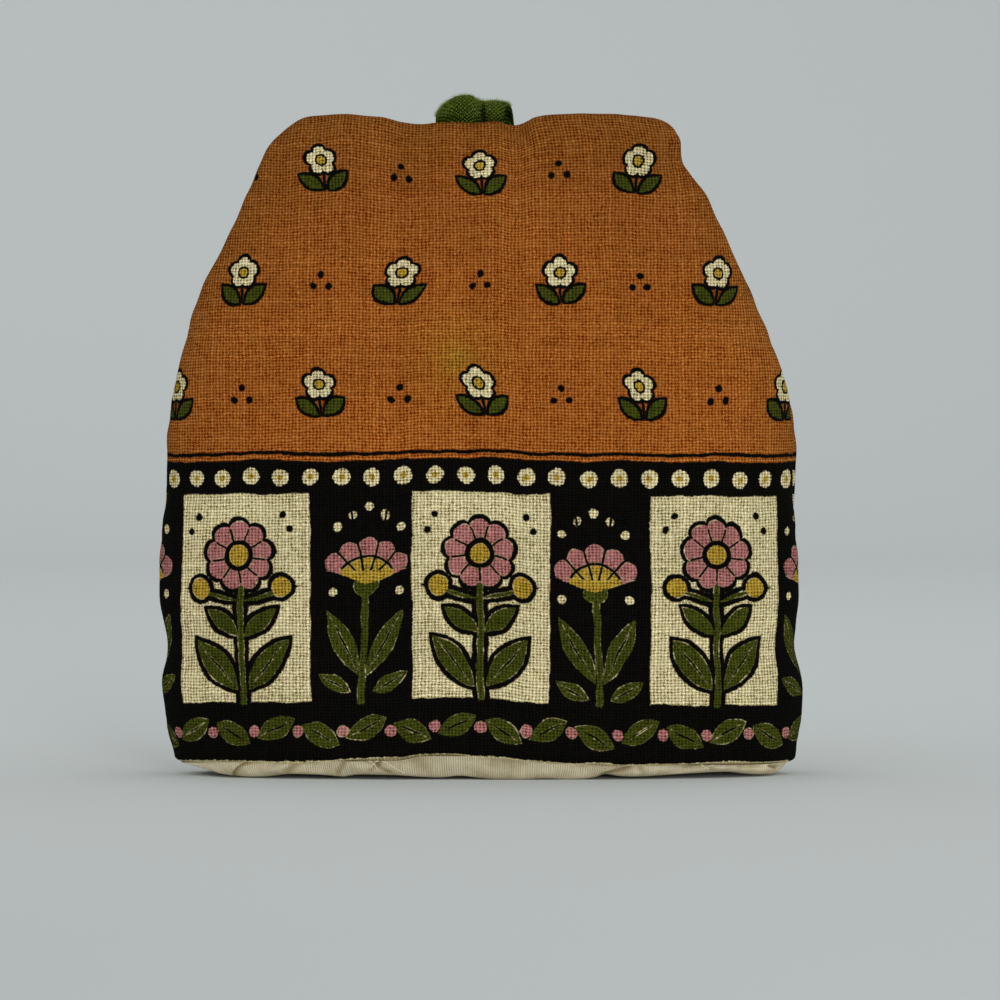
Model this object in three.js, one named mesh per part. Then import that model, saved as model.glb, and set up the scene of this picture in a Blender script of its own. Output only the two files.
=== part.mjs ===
// Padded egg cosy that stands on its hem. Two shaped panels of printed cloth, each with its wadding,
// are sewn together along the sides and the top. A cotton lining fills the inside as a pocket and
// rolls out under the hem, and a soft tape loop is caught in the top seam.
//
// Millimetres, +Z up. The origin lies on the surface under the middle of the mouth. The front faces -Y.

import * as THREE from "three";

// Outside of the body
const TOP_HEIGHT = 104; // surface to the top seam, at the shoulders
const MOUTH_HALF_DEPTH = 15; // half the mouth, front to back
const DEPTH_FALL = 2.4; // power of the height by which the depth closes to the top seam
const FACE_FLATNESS = 2.8; // power of the width in a level section: 2 is an ellipse, more is flatter
const CORNER_RADIUS = { left: 8, right: 6 };

// Half-widths of the front outline, each side of the middle
const OUTLINE = [
  { height: 0, left: 47.8, right: 48.8 },
  { height: 5, left: 49.0, right: 49.9 },
  { height: 13, left: 50.1, right: 50.5 },
  { height: 21, left: 49.6, right: 49.3 },
  { height: 30, left: 50.5, right: 49.8 },
  { height: 44, left: 49.8, right: 49.3 },
  { height: 54, left: 49.9, right: 49.6 },
  { height: 60, left: 49.0, right: 48.5 },
  { height: 67, left: 47.2, right: 46.3 },
  { height: 75, left: 44.9, right: 43.2 },
  { height: 83, left: 41.1, right: 39.4 },
  { height: 91, left: 37.6, right: 35.8 },
  { height: 96, left: 35.4, right: 32.3 },
  { height: 100, left: 33.4, right: 31.4 },
  { height: 104, left: 31.6, right: 30.6 },
];

// Cloth thicknesses and the room between pieces
const PANEL_THICKNESS = 2.4;
const LINING_THICKNESS = 1.0;
const LAYER_GAP = 0.45; // between a panel and the lining
const SEAM_HALF_GAP = 0.15; // from the seam's middle plane to each panel

// Lower edge of the printed cloth: a low arch over the surface, with its crown left of the middle
const HEM_EDGE = { atSides: 1.7, arch: 1.9, crown: -0.04 };

// Hem roll of the lining, from the ledge under the printed cloth round to the inside.
// Inset is measured in from the body's outside, and rise is a share of the ledge's height.
const HEM_ROLL = [
  { inset: 1.0, rise: 1.0 },
  { inset: 0.6, rise: 0.55 },
  { inset: 1.1, rise: 0 },
  { inset: 3.4, rise: 0 },
];
const INNER_HEM_HEIGHT = 0.7;

// Dips of the top edge beside the loop
const TOP_DIPS = [
  { at: -7, halfWidth: 12, depth: 0.8 },
  { at: 3, halfWidth: 8, depth: 0.6 },
];
const DIP_REACH = 5; // power of the height: the dip dies away below the top

// Soft hollows in the two faces, as a share of the depth there. A negative share is a swelling.
const HOLLOWS = [
  { face: "front", x: 8, height: 97, halfWidth: 7, halfHeight: 11, share: 0.18 },
  { face: "front", x: -12, height: 96, halfWidth: 9, halfHeight: 10, share: 0.12 },
  { face: "front", x: -14, height: 27, halfWidth: 26, halfHeight: 22, share: 0.07 },
  { face: "front", x: 27, height: 20, halfWidth: 18, halfHeight: 16, share: -0.05 },
  { face: "back", x: 9, height: 42, halfWidth: 30, halfHeight: 28, share: 0.09 },
  { face: "back", x: -20, height: 82, halfWidth: 16, halfHeight: 14, share: -0.06 },
];

// Places where a side seam strays from the middle plane
const SEAM_STRAYS = [
  { side: "left", height: 17, halfHeight: 14, towardsFront: 1.4 },
  { side: "right", height: 20, halfHeight: 12, towardsFront: -0.9 },
];
const STRAY_NARROWNESS = 8; // power of the width: a stray stays near its seam

// Tape loop: its middle line above the seat in the top seam, with the half-sizes of its soft section
const LOOP_SEAT = 103.3;
const LOOP_LINE = [
  { x: -5.1, rise: -2.1, halfWidth: 2.0, halfThickness: 0.55 },
  { x: -5.15, rise: -0.4, halfWidth: 2.0, halfThickness: 0.55 },
  { x: -4.95, rise: 0.75, halfWidth: 1.95, halfThickness: 0.8 },
  { x: -4.1, rise: 1.75, halfWidth: 1.9, halfThickness: 1.4 },
  { x: -2.3, rise: 2.25, halfWidth: 1.85, halfThickness: 1.7 },
  { x: -0.3, rise: 2.15, halfWidth: 1.65, halfThickness: 1.6 },
  { x: 1.4, rise: 1.95, halfWidth: 1.6, halfThickness: 1.5 },
  { x: 2.7, rise: 1.45, halfWidth: 1.75, halfThickness: 1.2 },
  { x: 3.25, rise: 0.6, halfWidth: 1.9, halfThickness: 0.7 },
  { x: 3.3, rise: -0.4, halfWidth: 1.95, halfThickness: 0.55 },
  { x: 3.3, rise: -2.1, halfWidth: 2.0, halfThickness: 0.55 },
];
// The top seam parts to take the loop's two ends
const SEAM_PARTING = { middle: -0.9, halfLength: 9.4, fade: 4, halfGap: 0.9 };

// Steps of the faceted surfaces
const STEPS_ACROSS = 34;
const STEPS_UP = 24;
const LOOP_STEPS = 26;
const LOOP_SIDES = 12;

const clamp01 = (value) => Math.min(1, Math.max(0, value));

// A round hill of height 1 that ends smoothly where the distance reaches 1.
const hill = (distance) => (1 - Math.min(1, distance * distance)) ** 2;

// A table's column as a smooth function of another: cubic pieces whose slopes are those of the
// neighbouring rows.
function readTable(rows, key, column, at) {
  const last = rows.length - 1;
  let i = 0;
  while (i < last - 1 && rows[i + 1][key] < at) i += 1;
  const slope = (k) => {
    const before = rows[Math.max(0, k - 1)];
    const after = rows[Math.min(last, k + 1)];
    return (after[column] - before[column]) / (after[key] - before[key]);
  };
  const span = rows[i + 1][key] - rows[i][key];
  const t = (at - rows[i][key]) / span;
  return (
    rows[i][column] * (1 + 2 * t) * (1 - t) ** 2 +
    rows[i + 1][column] * t * t * (3 - 2 * t) +
    span * (slope(i) * t * (1 - t) ** 2 - slope(i + 1) * t * t * (1 - t))
  );
}

// Half-width of the outline at a height, with the rounded top corner, a given inset inside the body.
function halfWidth(side, height, inset) {
  const radius = CORNER_RADIUS[side] - inset;
  const rise = clamp01((height - (TOP_HEIGHT - inset - radius)) / radius);
  return readTable(OUTLINE, "height", side, height) - inset - radius * (1 - Math.sqrt(1 - rise * rise));
}

// Half-depth in the middle of the width, a given inset inside the body.
function halfDepth(height, inset) {
  const share = clamp01(height / (TOP_HEIGHT - inset));
  return (MOUTH_HALF_DEPTH - inset) * Math.sqrt(1 - share ** DEPTH_FALL);
}

// Height of the printed cloth's lower edge at a share of the half-width, -1 to 1.
function hemEdge(across) {
  return HEM_EDGE.atSides + HEM_EDGE.arch * hill((across - HEM_EDGE.crown) / (1 + Math.abs(HEM_EDGE.crown)));
}

// One point of the body. Turn runs from -90 degrees at the left seam to 90 at the right one,
// and face is "front" or "back".
function bodyPoint(face, turn, height, inset) {
  const across = Math.sin(turn);
  const side = across < 0 ? "left" : "right";
  const outward = face === "front" ? -1 : 1;
  const x = across * halfWidth(side, height, inset);
  const fullDepth = halfDepth(height, inset) * Math.sqrt(Math.max(0, 1 - Math.abs(across) ** FACE_FLATNESS));
  let depth = fullDepth;
  for (const dent of HOLLOWS) {
    if (dent.face !== face) continue;
    const away = Math.hypot((x - dent.x) / dent.halfWidth, (height - dent.height) / dent.halfHeight);
    depth -= dent.share * hill(away) * fullDepth;
  }
  let stray = 0;
  for (const place of SEAM_STRAYS) {
    if (place.side !== side) continue;
    const reach = hill((height - place.height) / place.halfHeight);
    stray += place.towardsFront * reach * Math.abs(across) ** STRAY_NARROWNESS;
  }
  let dip = 0;
  for (const place of TOP_DIPS) dip += place.depth * hill((x - place.at) / place.halfWidth);
  const z = height - dip * clamp01(height / TOP_HEIGHT) ** DIP_REACH;
  return new THREE.Vector3(x, outward * depth - stray, z);
}

// Turn at a step across, and height at a step up from a lower edge. Steps draw together at the
// seams and the top, where the cloth rounds over.
const turnAt = (step) => ((2 * step) / STEPS_ACROSS - 1) * (Math.PI / 2);
const heightAt = (step, low, inset) =>
  low + (TOP_HEIGHT - inset - low) * Math.sin((step / STEPS_UP) * (Math.PI / 2));

const steps = (count) => Array.from({ length: count + 1 }, (_, i) => i);

// A closed geometry from rings of as many points each. Neighbouring rings are joined by quads,
// and cap says how the first and last rings are closed.
function ringGeometry(rings, cap) {
  const size = rings[0].length;
  const positions = rings.flat().flatMap((p) => [p.x, p.y, p.z]);
  const index = [];
  const quad = (a, b, c, d) => index.push(a, b, c, a, c, d);
  for (let r = 0; r + 1 < rings.length; r += 1) {
    for (let i = 0; i < size; i += 1) {
      const j = (i + 1) % size;
      quad(r * size + i, r * size + j, (r + 1) * size + j, (r + 1) * size + i);
    }
  }
  cap?.(quad, 0, size, false);
  cap?.(quad, (rings.length - 1) * size, size, true);
  const geometry = new THREE.BufferGeometry();
  geometry.setAttribute("position", new THREE.Float32BufferAttribute(positions, 3));
  geometry.setIndex(index);
  geometry.computeVertexNormals();
  return geometry;
}

// Closes a ring with a strip of quads between its first half and its second half, read backwards.
function stripCap(quad, start, size, isLast) {
  for (let i = 0; i + 1 < size / 2; i += 1) {
    const near = [start + i, start + i + 1];
    const far = [start + size - 1 - i, start + size - 2 - i];
    if (isLast) quad(near[0], near[1], far[1], far[0]);
    else quad(near[1], near[0], far[0], far[1]);
  }
}

// Distance that a panel keeps from the seam's middle plane: more where the loop's ends go in.
function seamRoom(x) {
  const past = (Math.abs(x - SEAM_PARTING.middle) - SEAM_PARTING.halfLength) / SEAM_PARTING.fade;
  return SEAM_HALF_GAP + (SEAM_PARTING.halfGap - SEAM_HALF_GAP) * (1 - clamp01(past));
}

// One panel: at each height a thin closed ring, along the outside and back along the inside.
function panelGeometry(face) {
  const outward = face === "front" ? -1 : 1;
  const place = (across, up, inset) => {
    const turn = turnAt(across);
    const p = bodyPoint(face, turn, heightAt(up, hemEdge(Math.sin(turn)), inset), inset);
    const nearTop = up === STEPS_UP ? seamRoom(p.x) : SEAM_HALF_GAP;
    p.y += outward * nearTop;
    return p;
  };
  const rings = steps(STEPS_UP).map((up) => {
    const outside = steps(STEPS_ACROSS).map((across) => place(across, up, 0));
    const inside = steps(STEPS_ACROSS).map((across) => place(across, up, PANEL_THICKNESS));
    return face === "front" ? [...outside, ...inside.reverse()] : [...inside, ...outside.reverse()];
  });
  return ringGeometry(rings, stripCap);
}

// A whole level ring of the lining: the front from left to right, then the back from right to left.
function liningRing(inset, heightOf) {
  const half = (face) =>
    steps(STEPS_ACROSS).map((across) => {
      const turn = turnAt(across);
      return bodyPoint(face, turn, heightOf(Math.sin(turn)), inset);
    });
  return [...half("front").slice(0, -1), ...half("back").reverse().slice(0, -1)];
}

// The lining: up the inside, closed at the top seam, and down the outside to the hem roll.
function liningGeometry() {
  const outer = PANEL_THICKNESS + LAYER_GAP;
  const inner = outer + LINING_THICKNESS;
  const ledge = (across) => hemEdge(across) - LAYER_GAP;
  const outside = steps(STEPS_UP).map((up) => liningRing(outer, (across) => heightAt(up, ledge(across), outer)));
  const roll = HEM_ROLL.map((row) => liningRing(row.inset, (across) => row.rise * ledge(across)));
  const inside = steps(STEPS_UP).map((up) => liningRing(inner, () => heightAt(up, INNER_HEM_HEIGHT, inner)));
  return ringGeometry([...inside.reverse(), ...roll.reverse(), ...outside]);
}

// The loop: a soft flattened tube along its middle line, with flat ends in the seam.
function loopGeometry() {
  const along = (column, t) => {
    const last = LOOP_LINE.length - 1;
    const rows = LOOP_LINE.map((row, i) => ({ ...row, share: i / last }));
    return readTable(rows, "share", column, t);
  };
  const line = (t) => new THREE.Vector2(along("x", t), LOOP_SEAT + along("rise", t));
  const NUDGE = 1e-3;
  const rings = steps(LOOP_STEPS).map((step) => {
    const t = step / LOOP_STEPS;
    const middle = line(t);
    const ahead = line(Math.min(1, t + NUDGE)).sub(line(Math.max(0, t - NUDGE))).normalize();
    return steps(LOOP_SIDES - 1).map((corner) => {
      const turn = (corner / LOOP_SIDES) * 2 * Math.PI + Math.PI / LOOP_SIDES;
      const wide = Math.cos(turn) * along("halfWidth", t);
      const thick = -Math.sin(turn) * along("halfThickness", t);
      return new THREE.Vector3(middle.x - ahead.y * wide, thick, middle.y + ahead.x * wide);
    });
  });
  return ringGeometry(rings, stripCap);
}

const CLOTH = {
  print: { color: 0xa8642f, roughness: 0.92, metalness: 0 },
  lining: { color: 0xd8cda6, roughness: 0.85, metalness: 0 },
  tape: { color: 0x4d5f22, roughness: 0.95, metalness: 0 },
};

function piece(name, geometry, cloth) {
  const mesh = new THREE.Mesh(geometry, new THREE.MeshStandardMaterial(cloth));
  mesh.name = name;
  return mesh;
}

const cosy = new THREE.Group();
cosy.add(
  piece("front_panel", panelGeometry("front"), CLOTH.print),
  piece("back_panel", panelGeometry("back"), CLOTH.print),
  piece("lining", liningGeometry(), CLOTH.lining),
  piece("loop", loopGeometry(), CLOTH.tape),
);

export default cosy;
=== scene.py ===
"""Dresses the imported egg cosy: printed linen panels, cotton lining, tape loop, its fuzz and the hem stitches.

Sizes are in millimetres unless a name says otherwise, and meshes are written in metres. The cosy stands on
its hem with its front towards -Y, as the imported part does.
"""

from __future__ import annotations

import logging
import math
from dataclasses import dataclass
from enum import Enum
from functools import reduce
from typing import NamedTuple, Union

import bpy
import numpy as np
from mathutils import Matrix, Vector


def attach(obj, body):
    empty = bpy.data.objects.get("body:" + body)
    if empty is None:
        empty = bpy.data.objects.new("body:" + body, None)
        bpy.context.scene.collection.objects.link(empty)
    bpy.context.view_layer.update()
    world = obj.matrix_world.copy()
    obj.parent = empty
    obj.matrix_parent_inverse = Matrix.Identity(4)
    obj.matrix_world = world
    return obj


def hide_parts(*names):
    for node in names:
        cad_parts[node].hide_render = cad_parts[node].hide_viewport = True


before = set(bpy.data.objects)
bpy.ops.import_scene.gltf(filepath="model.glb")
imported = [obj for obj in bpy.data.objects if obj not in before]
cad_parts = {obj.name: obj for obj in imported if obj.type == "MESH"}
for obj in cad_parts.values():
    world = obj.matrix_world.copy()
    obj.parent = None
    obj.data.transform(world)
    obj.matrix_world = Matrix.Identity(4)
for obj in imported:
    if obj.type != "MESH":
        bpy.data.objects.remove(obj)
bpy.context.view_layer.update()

LOG = logging.getLogger("egg_cosy")
MM = 0.001
QUARTER_TURN = math.pi / 2
FULL_TURN = 2 * math.pi
TINY = 1e-9
STEEP = 0.9
LARGEST_POWER = 40.0
BODY = "root"

# A span is two ends, and a line is a gain and a base.
Colour = tuple[float, float, float]
Place = tuple[float, float]
Span = tuple[float, float]
Line = tuple[float, float]


class Face(Enum):
    """A side of the cosy, valued with the sign of its outward Y."""

    FRONT = -1
    BACK = 1


# Shape of the padded body


class OutlineRow(NamedTuple):
    """Half-widths of the front outline at a height, each side of the middle."""

    height: float
    left: float
    right: float


class HemRow(NamedTuple):
    """Height of the print's lower edge at a place across the front."""

    x: float
    height: float


class Hollow(NamedTuple):
    """A soft hollow in a face, as a share of the depth there; a negative share is a swelling."""

    face: Face
    x: float
    height: float
    half_width: float
    half_height: float
    share: float


class Dip(NamedTuple):
    """A dip of the top edge; a negative depth is a rise."""

    x: float
    half_width: float
    depth: float


class Stray(NamedTuple):
    """A place where a side seam strays towards the front."""

    side: int
    height: float
    half_height: float
    towards_front: float


def hill(distance: np.ndarray) -> np.ndarray:
    """Round hill of height 1 that ends smoothly at distance 1: one less the distance squared, squared."""
    return (1 - np.minimum(1, distance**2)) ** 2


def smooth_column(keys: np.ndarray, values: np.ndarray, at: np.ndarray) -> np.ndarray:
    """Reads a table as a smooth curve: cubic pieces whose slopes are those between the neighbouring rows.

    Args:
        keys: The rows' places, rising.
        values: The rows' values.
        at: Where to read the curve.

    Returns:
        The curve's values at those places.
    """
    last = len(keys) - 1
    before = np.maximum(np.arange(last + 1) - 1, 0)
    after = np.minimum(np.arange(last + 1) + 1, last)
    slopes = (values[after] - values[before]) / (keys[after] - keys[before])
    i = np.clip(np.searchsorted(keys, at) - 1, 0, last - 1)
    span = keys[i + 1] - keys[i]
    t = (at - keys[i]) / span
    ends = values[i] * (1 + 2 * t) * (1 - t) ** 2 + values[i + 1] * t**2 * (3 - 2 * t)
    return ends + span * (slopes[i] * t * (1 - t) ** 2 - slopes[i + 1] * t**2 * (1 - t))


@dataclass(frozen=True)
class CosyShape:
    """The padded body as a formula of turn, height and inset.

    Turn runs from minus a quarter at the left seam to a quarter at the right one. The width follows the
    outline table, rounded at the top corners. The depth closes to the top seam by a power of the height, and
    a level section is a flattened ellipse.
    """

    top_height: float = 104.0
    mouth_half_depth: float = 15.0
    depth_fall: float = 2.4
    face_flatness: float = 2.8
    left_corner: float = 6.5
    right_corner: float = 5.0
    mouth_half_width: float = 48.6
    dip_reach: float = 5.0
    stray_narrowness: float = 8.0
    outline: tuple[OutlineRow, ...] = (
        OutlineRow(0, 47.8, 49.2),
        OutlineRow(5, 49.0, 50.2),
        OutlineRow(13, 50.1, 50.8),
        OutlineRow(20, 49.5, 49.7),
        OutlineRow(28.5, 50.6, 50.2),
        OutlineRow(37.5, 50.75, 49.93),
        OutlineRow(44, 50.0, 49.7),
        OutlineRow(54, 49.6, 49.7),
        OutlineRow(60, 48.7, 48.6),
        OutlineRow(67, 47.1, 46.4),
        OutlineRow(75, 44.9, 43.2),
        OutlineRow(83, 41.1, 39.4),
        OutlineRow(91, 37.6, 35.8),
        OutlineRow(96, 35.5, 32.6),
        OutlineRow(100, 33.9, 32.2),
        OutlineRow(104, 32.4, 31.7),
    )
    dips: tuple[Dip, ...] = (
        Dip(-31, 3.2, 0.3),
        Dip(-21.5, 5, -0.28),
        Dip(-9, 13, 1.25),
        Dip(-11, 5, 0.25),
        Dip(2.5, 10, 0.8),
        Dip(5.4, 3.2, 0.85),
        Dip(18.5, 7, -0.28),
        Dip(28.3, 4.5, 0.35),
    )
    hem: tuple[HemRow, ...] = (
        HemRow(-49, 2.0),
        HemRow(-40, 2.4),
        HemRow(-29, 2.75),
        HemRow(-13, 2.9),
        HemRow(-9, 3.5),
        HemRow(3, 3.4),
        HemRow(7.5, 2.75),
        HemRow(18, 2.2),
        HemRow(33, 2.1),
        HemRow(42, 1.95),
        HemRow(49, 2.0),
    )
    hollows: tuple[Hollow, ...] = (
        Hollow(Face.FRONT, 8, 97, 7, 11, 0.18),
        Hollow(Face.FRONT, -12, 96, 9, 10, 0.12),
        Hollow(Face.FRONT, -14, 27, 26, 22, 0.07),
        Hollow(Face.FRONT, 27, 20, 18, 16, -0.05),
        Hollow(Face.BACK, 9, 42, 30, 28, 0.09),
        Hollow(Face.BACK, -20, 82, 16, 14, -0.06),
    )
    strays: tuple[Stray, ...] = (Stray(-1, 17, 14, 1.4), Stray(1, 20, 12, -0.9))

    def half_width(self, across: np.ndarray, height: np.ndarray, inset: np.ndarray) -> np.ndarray:
        """Half-width at a height: the table's curve, less the inset and the corner's quarter circle.

        Args:
            across: Share of the half-width, whose sign picks the side.
            height: Height over the surface.
            inset: Distance in from the body's outside.

        Returns:
            The half-width on that side.
        """
        heights, left, right = np.transpose(self.outline)
        sides = []
        for corner, widths in ((self.left_corner, left), (self.right_corner, right)):
            radius = corner - inset
            rise = np.clip((height - (self.top_height - inset - radius)) / radius, 0, 1)
            arc = radius * (1 - np.sqrt(1 - rise**2))
            sides.append(smooth_column(heights, widths, height) - inset - arc)
        return np.where(across < 0, *sides)

    def hem_edge(self, across: np.ndarray) -> np.ndarray:
        """Height of the linen's lower edge: the hem table's curve over the share of the mouth's width."""
        return smooth_column(*np.transpose(self.hem), across * self.mouth_half_width)

    def depth(self, face: Face, across: np.ndarray, height: np.ndarray, inset: np.ndarray) -> np.ndarray:
        """Distance from the seam plane: the flattened ellipse's depth, less the face's hollows.

        Args:
            face: The face that the point is on.
            across: Share of the half-width.
            height: Height over the surface.
            inset: Distance in from the body's outside.

        Returns:
            The depth, zero at the seams.
        """
        share = np.clip(height / (self.top_height - inset), 0, 1)
        middle = (self.mouth_half_depth - inset) * np.sqrt(1 - share**self.depth_fall)
        depth = middle * np.sqrt(np.maximum(0, 1 - np.abs(across) ** self.face_flatness))
        x = across * self.half_width(across, height, inset)
        kept = np.ones_like(depth)
        for dent in self.hollows:
            if dent.face is face:
                away = np.hypot((x - dent.x) / dent.half_width, (height - dent.height) / dent.half_height)
                kept -= dent.share * hill(away)
        return depth * kept

    def points(self, face: Face, turn: np.ndarray, height: np.ndarray, inset: np.ndarray) -> np.ndarray:
        """Points of the body for arrays of turn, height and inset of one shape.

        Args:
            face: The face that the points are on.
            turn: Angle across, in radians.
            height: Height over the surface.
            inset: Distance in from the body's outside.

        Returns:
            An array of the same shape with a last axis of x, y and z.
        """
        across = np.sin(turn)
        x = across * self.half_width(across, height, inset)
        y = face.value * self.depth(face, across, height, inset)
        for stray in self.strays:
            near = hill((height - stray.height) / stray.half_height)
            at_side = np.clip(across * stray.side, 0, 1) ** self.stray_narrowness
            y = y - stray.towards_front * near * at_side
        dip = sum(place.depth * hill((x - place.x) / place.half_width) for place in self.dips)
        z = height - dip * np.clip(height / self.top_height, 0, 1) ** self.dip_reach
        return np.stack((x, y, z), axis=-1)


# Meshes from rings of points


def ring_faces(rings: int, size: int) -> np.ndarray:
    """Quads that join neighbouring rings of a tube.

    Args:
        rings: How many rings there are.
        size: How many points each has.

    Returns:
        An array of four vertex numbers for each quad.
    """
    ring, corner = np.meshgrid(np.arange(rings - 1), np.arange(size), indexing="ij")
    after = (corner + 1) % size
    quads = (ring * size + corner, ring * size + after, (ring + 1) * size + after, (ring + 1) * size + corner)
    return np.stack(quads, axis=-1).reshape(-1, 4)


def strip_cap(start: int, size: int, shared_ends: bool, is_last: bool) -> list[list[int]]:
    """Faces that close a ring by a strip from its first half to its second half, read backwards.

    Args:
        start: The ring's first vertex number.
        size: How many points the ring has.
        shared_ends: Whether the two halves share their end points.
        is_last: Whether the ring is the tube's last, which turns the faces round.

    Returns:
        Lists of vertex numbers, without repeats.
    """
    half = size // 2 + (1 if shared_ends else 0)
    far_first = size if shared_ends else size - 1
    near = np.arange(half)
    far = (far_first - near) % size
    loops = np.stack((near[:-1], near[1:], far[1:], far[:-1]), axis=-1) + start
    if not is_last:
        loops = loops[:, ::-1]
    return [list(dict.fromkeys(loop)) for loop in loops.tolist()]


class FlatCloth:
    """How flat-cloth millimetres are kept in a UV map: the middle of the width at half, the hem at zero."""

    UV_NAME = "flat_cloth"
    # Name of the mark of nearness to the seams, which darkens the linen partly as worn dye and partly as
    # painted shade, and pales the lining.
    SEAM_NEARNESS = "seam_nearness"
    # Name of the mark of painted shade in folds.
    FOLD_SHADE = "fold"
    SPAN = 260.0
    MIDDLE = 0.5

    @classmethod
    def to_uv(cls, flat: np.ndarray) -> np.ndarray:
        """UV values of flat-cloth points."""
        return flat / cls.SPAN + np.array((cls.MIDDLE, 0.0))


def mesh_object(
    name: str, points: np.ndarray, flat: np.ndarray, marks: dict[str, np.ndarray], faces: list[list[int]]
) -> bpy.types.Object:
    """Puts a surface into a new object at the origin.

    Args:
        name: The piece's name.
        points: Points in millimetres, in any shape with a last axis of x, y and z.
        flat: Flat-cloth coordinates of each point, kept as the UV map.
        marks: Named values of each point.
        faces: Vertex numbers of each face.

    Returns:
        The new object, shaded smooth.
    """
    mesh = bpy.data.meshes.new(name)
    mesh.from_pydata(points.reshape(-1, 3) * MM, [], faces)
    corners = np.empty(len(mesh.loops), dtype=np.int32)
    mesh.loops.foreach_get("vertex_index", corners)
    layer = mesh.uv_layers.new(name=FlatCloth.UV_NAME)
    layer.data.foreach_set("uv", FlatCloth.to_uv(flat.reshape(-1, 2))[corners].ravel())
    for label, values in marks.items():
        mesh.attributes.new(label, "FLOAT", "POINT").data.foreach_set("value", values.ravel())
    mesh.polygons.foreach_set("use_smooth", np.ones(len(mesh.polygons), dtype=bool))
    mesh.update()
    made = bpy.data.objects.new(name, mesh)
    bpy.context.collection.objects.link(made)
    return made


@dataclass
class ClothMesh:
    """A closed cloth surface as rings of points, each with flat-cloth coordinates and named marks."""

    name: str
    rings: np.ndarray
    flat: np.ndarray
    marks: dict[str, np.ndarray]
    shared_ends: bool = False

    def to_object(self) -> bpy.types.Object:
        """Makes the Blender object, with the flat coordinates as its UV map.

        Returns:
            The new object, at the origin.
        """
        count, size = self.rings.shape[:2]
        faces = ring_faces(count, size).tolist()
        faces += strip_cap(0, size, self.shared_ends, False)
        faces += strip_cap((count - 1) * size, size, self.shared_ends, True)
        return mesh_object(self.name, self.rings, self.flat, self.marks, faces)


def surface_normals(points: np.ndarray) -> np.ndarray:
    """Unit normals of a grid of points: the cross product of its steps across and up.

    Args:
        points: Grid of points, rows upwards and columns to the right.

    Returns:
        Unit normals, which point to a viewer who sees the columns run to the right.
    """
    up, across = np.gradient(points, axis=0), np.gradient(points, axis=1)
    normal = np.cross(across, up)
    return normal / np.maximum(np.linalg.norm(normal, axis=-1, keepdims=True), TINY)


def arc_length(points: np.ndarray, axis: int) -> np.ndarray:
    """Running length along one axis of a grid of points, from its first point."""
    steps = np.linalg.norm(np.diff(points, axis=axis), axis=-1)
    return np.insert(np.cumsum(steps, axis=axis), 0, 0, axis=axis)


def there_and_back(there: np.ndarray, back: np.ndarray) -> np.ndarray:
    """Rings whose first half is one grid's rows, and whose second half is the other's, read backwards."""
    return np.concatenate((there, back[:, ::-1]), axis=1)


def trough(place: np.ndarray, start: Place, end: Place, width: float) -> tuple[np.ndarray, np.ndarray]:
    """A soft trough along a line: its depth falls by the square of the distance from the line.

    Args:
        place: Points in a plane, with a last axis of two.
        start: Where the line starts.
        end: Where it ends.
        width: Distance at which the depth is down to about a third.

    Returns:
        Share of the depth, and share of the way along the line.
    """
    run = np.subtract(end, start)
    away = place - np.array(start)
    share = np.clip(away @ run / (run @ run), 0, 1)
    gap = np.linalg.norm(away - share[..., None] * run, axis=-1)
    return np.exp(-((gap / width) ** 2)), share


def thread_object(name: str, paths: np.ndarray, radii: np.ndarray, sides: int) -> bpy.types.Object:
    """Makes many thin threads as one mesh: a regular polygon carried along each path, square to it.

    Args:
        name: The piece's name.
        paths: Points of each path, as an array of paths by points by x, y and z.
        radii: Radius at each point of a path.
        sides: How many sides the polygon has.

    Returns:
        The new object, its UV map holding the share of a turn and the length along.
    """
    along = np.gradient(paths, axis=1)
    along /= np.linalg.norm(along, axis=-1, keepdims=True)
    level = np.abs(along[..., 2:]) < STEEP
    side = np.cross(along, np.where(level, np.array((0.0, 0.0, 1.0)), np.array((1.0, 0.0, 0.0))))
    side /= np.linalg.norm(side, axis=-1, keepdims=True)
    other = np.cross(along, side)
    turn = FULL_TURN * np.arange(sides)[:, None] / sides
    spokes = np.cos(turn) * side[:, :, None] + np.sin(turn) * other[:, :, None]
    rings = paths[:, :, None] + spokes * radii[:, None, None]
    threads, steps = paths.shape[:2]
    first = (np.arange(threads) * steps * sides)[:, None, None]
    corner = np.arange(sides)
    quads = (first + ring_faces(steps, sides)).reshape(-1, 4)
    starts = (first + corner[::-1]).reshape(-1, sides)
    ends = (first + (steps - 1) * sides + corner).reshape(-1, sides)
    flat = np.broadcast_arrays(turn[:, 0] / FULL_TURN, arc_length(paths, 1)[..., None])
    faces = quads.tolist() + starts.tolist() + ends.tolist()
    return mesh_object(name, rings, np.stack(flat, axis=-1), {}, faces)


# Panels


class Crease(NamedTuple):
    """A soft trough along a line on a face; a negative depth is a ridge."""

    face: Face
    x_from: float
    height_from: float
    x_to: float
    height_to: float
    width: float
    depth: float


class Wave(NamedTuple):
    """One slow wave of the cloth's unevenness, with its lengths across and up."""

    across: float
    up: float
    phase: float
    height: float


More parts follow.
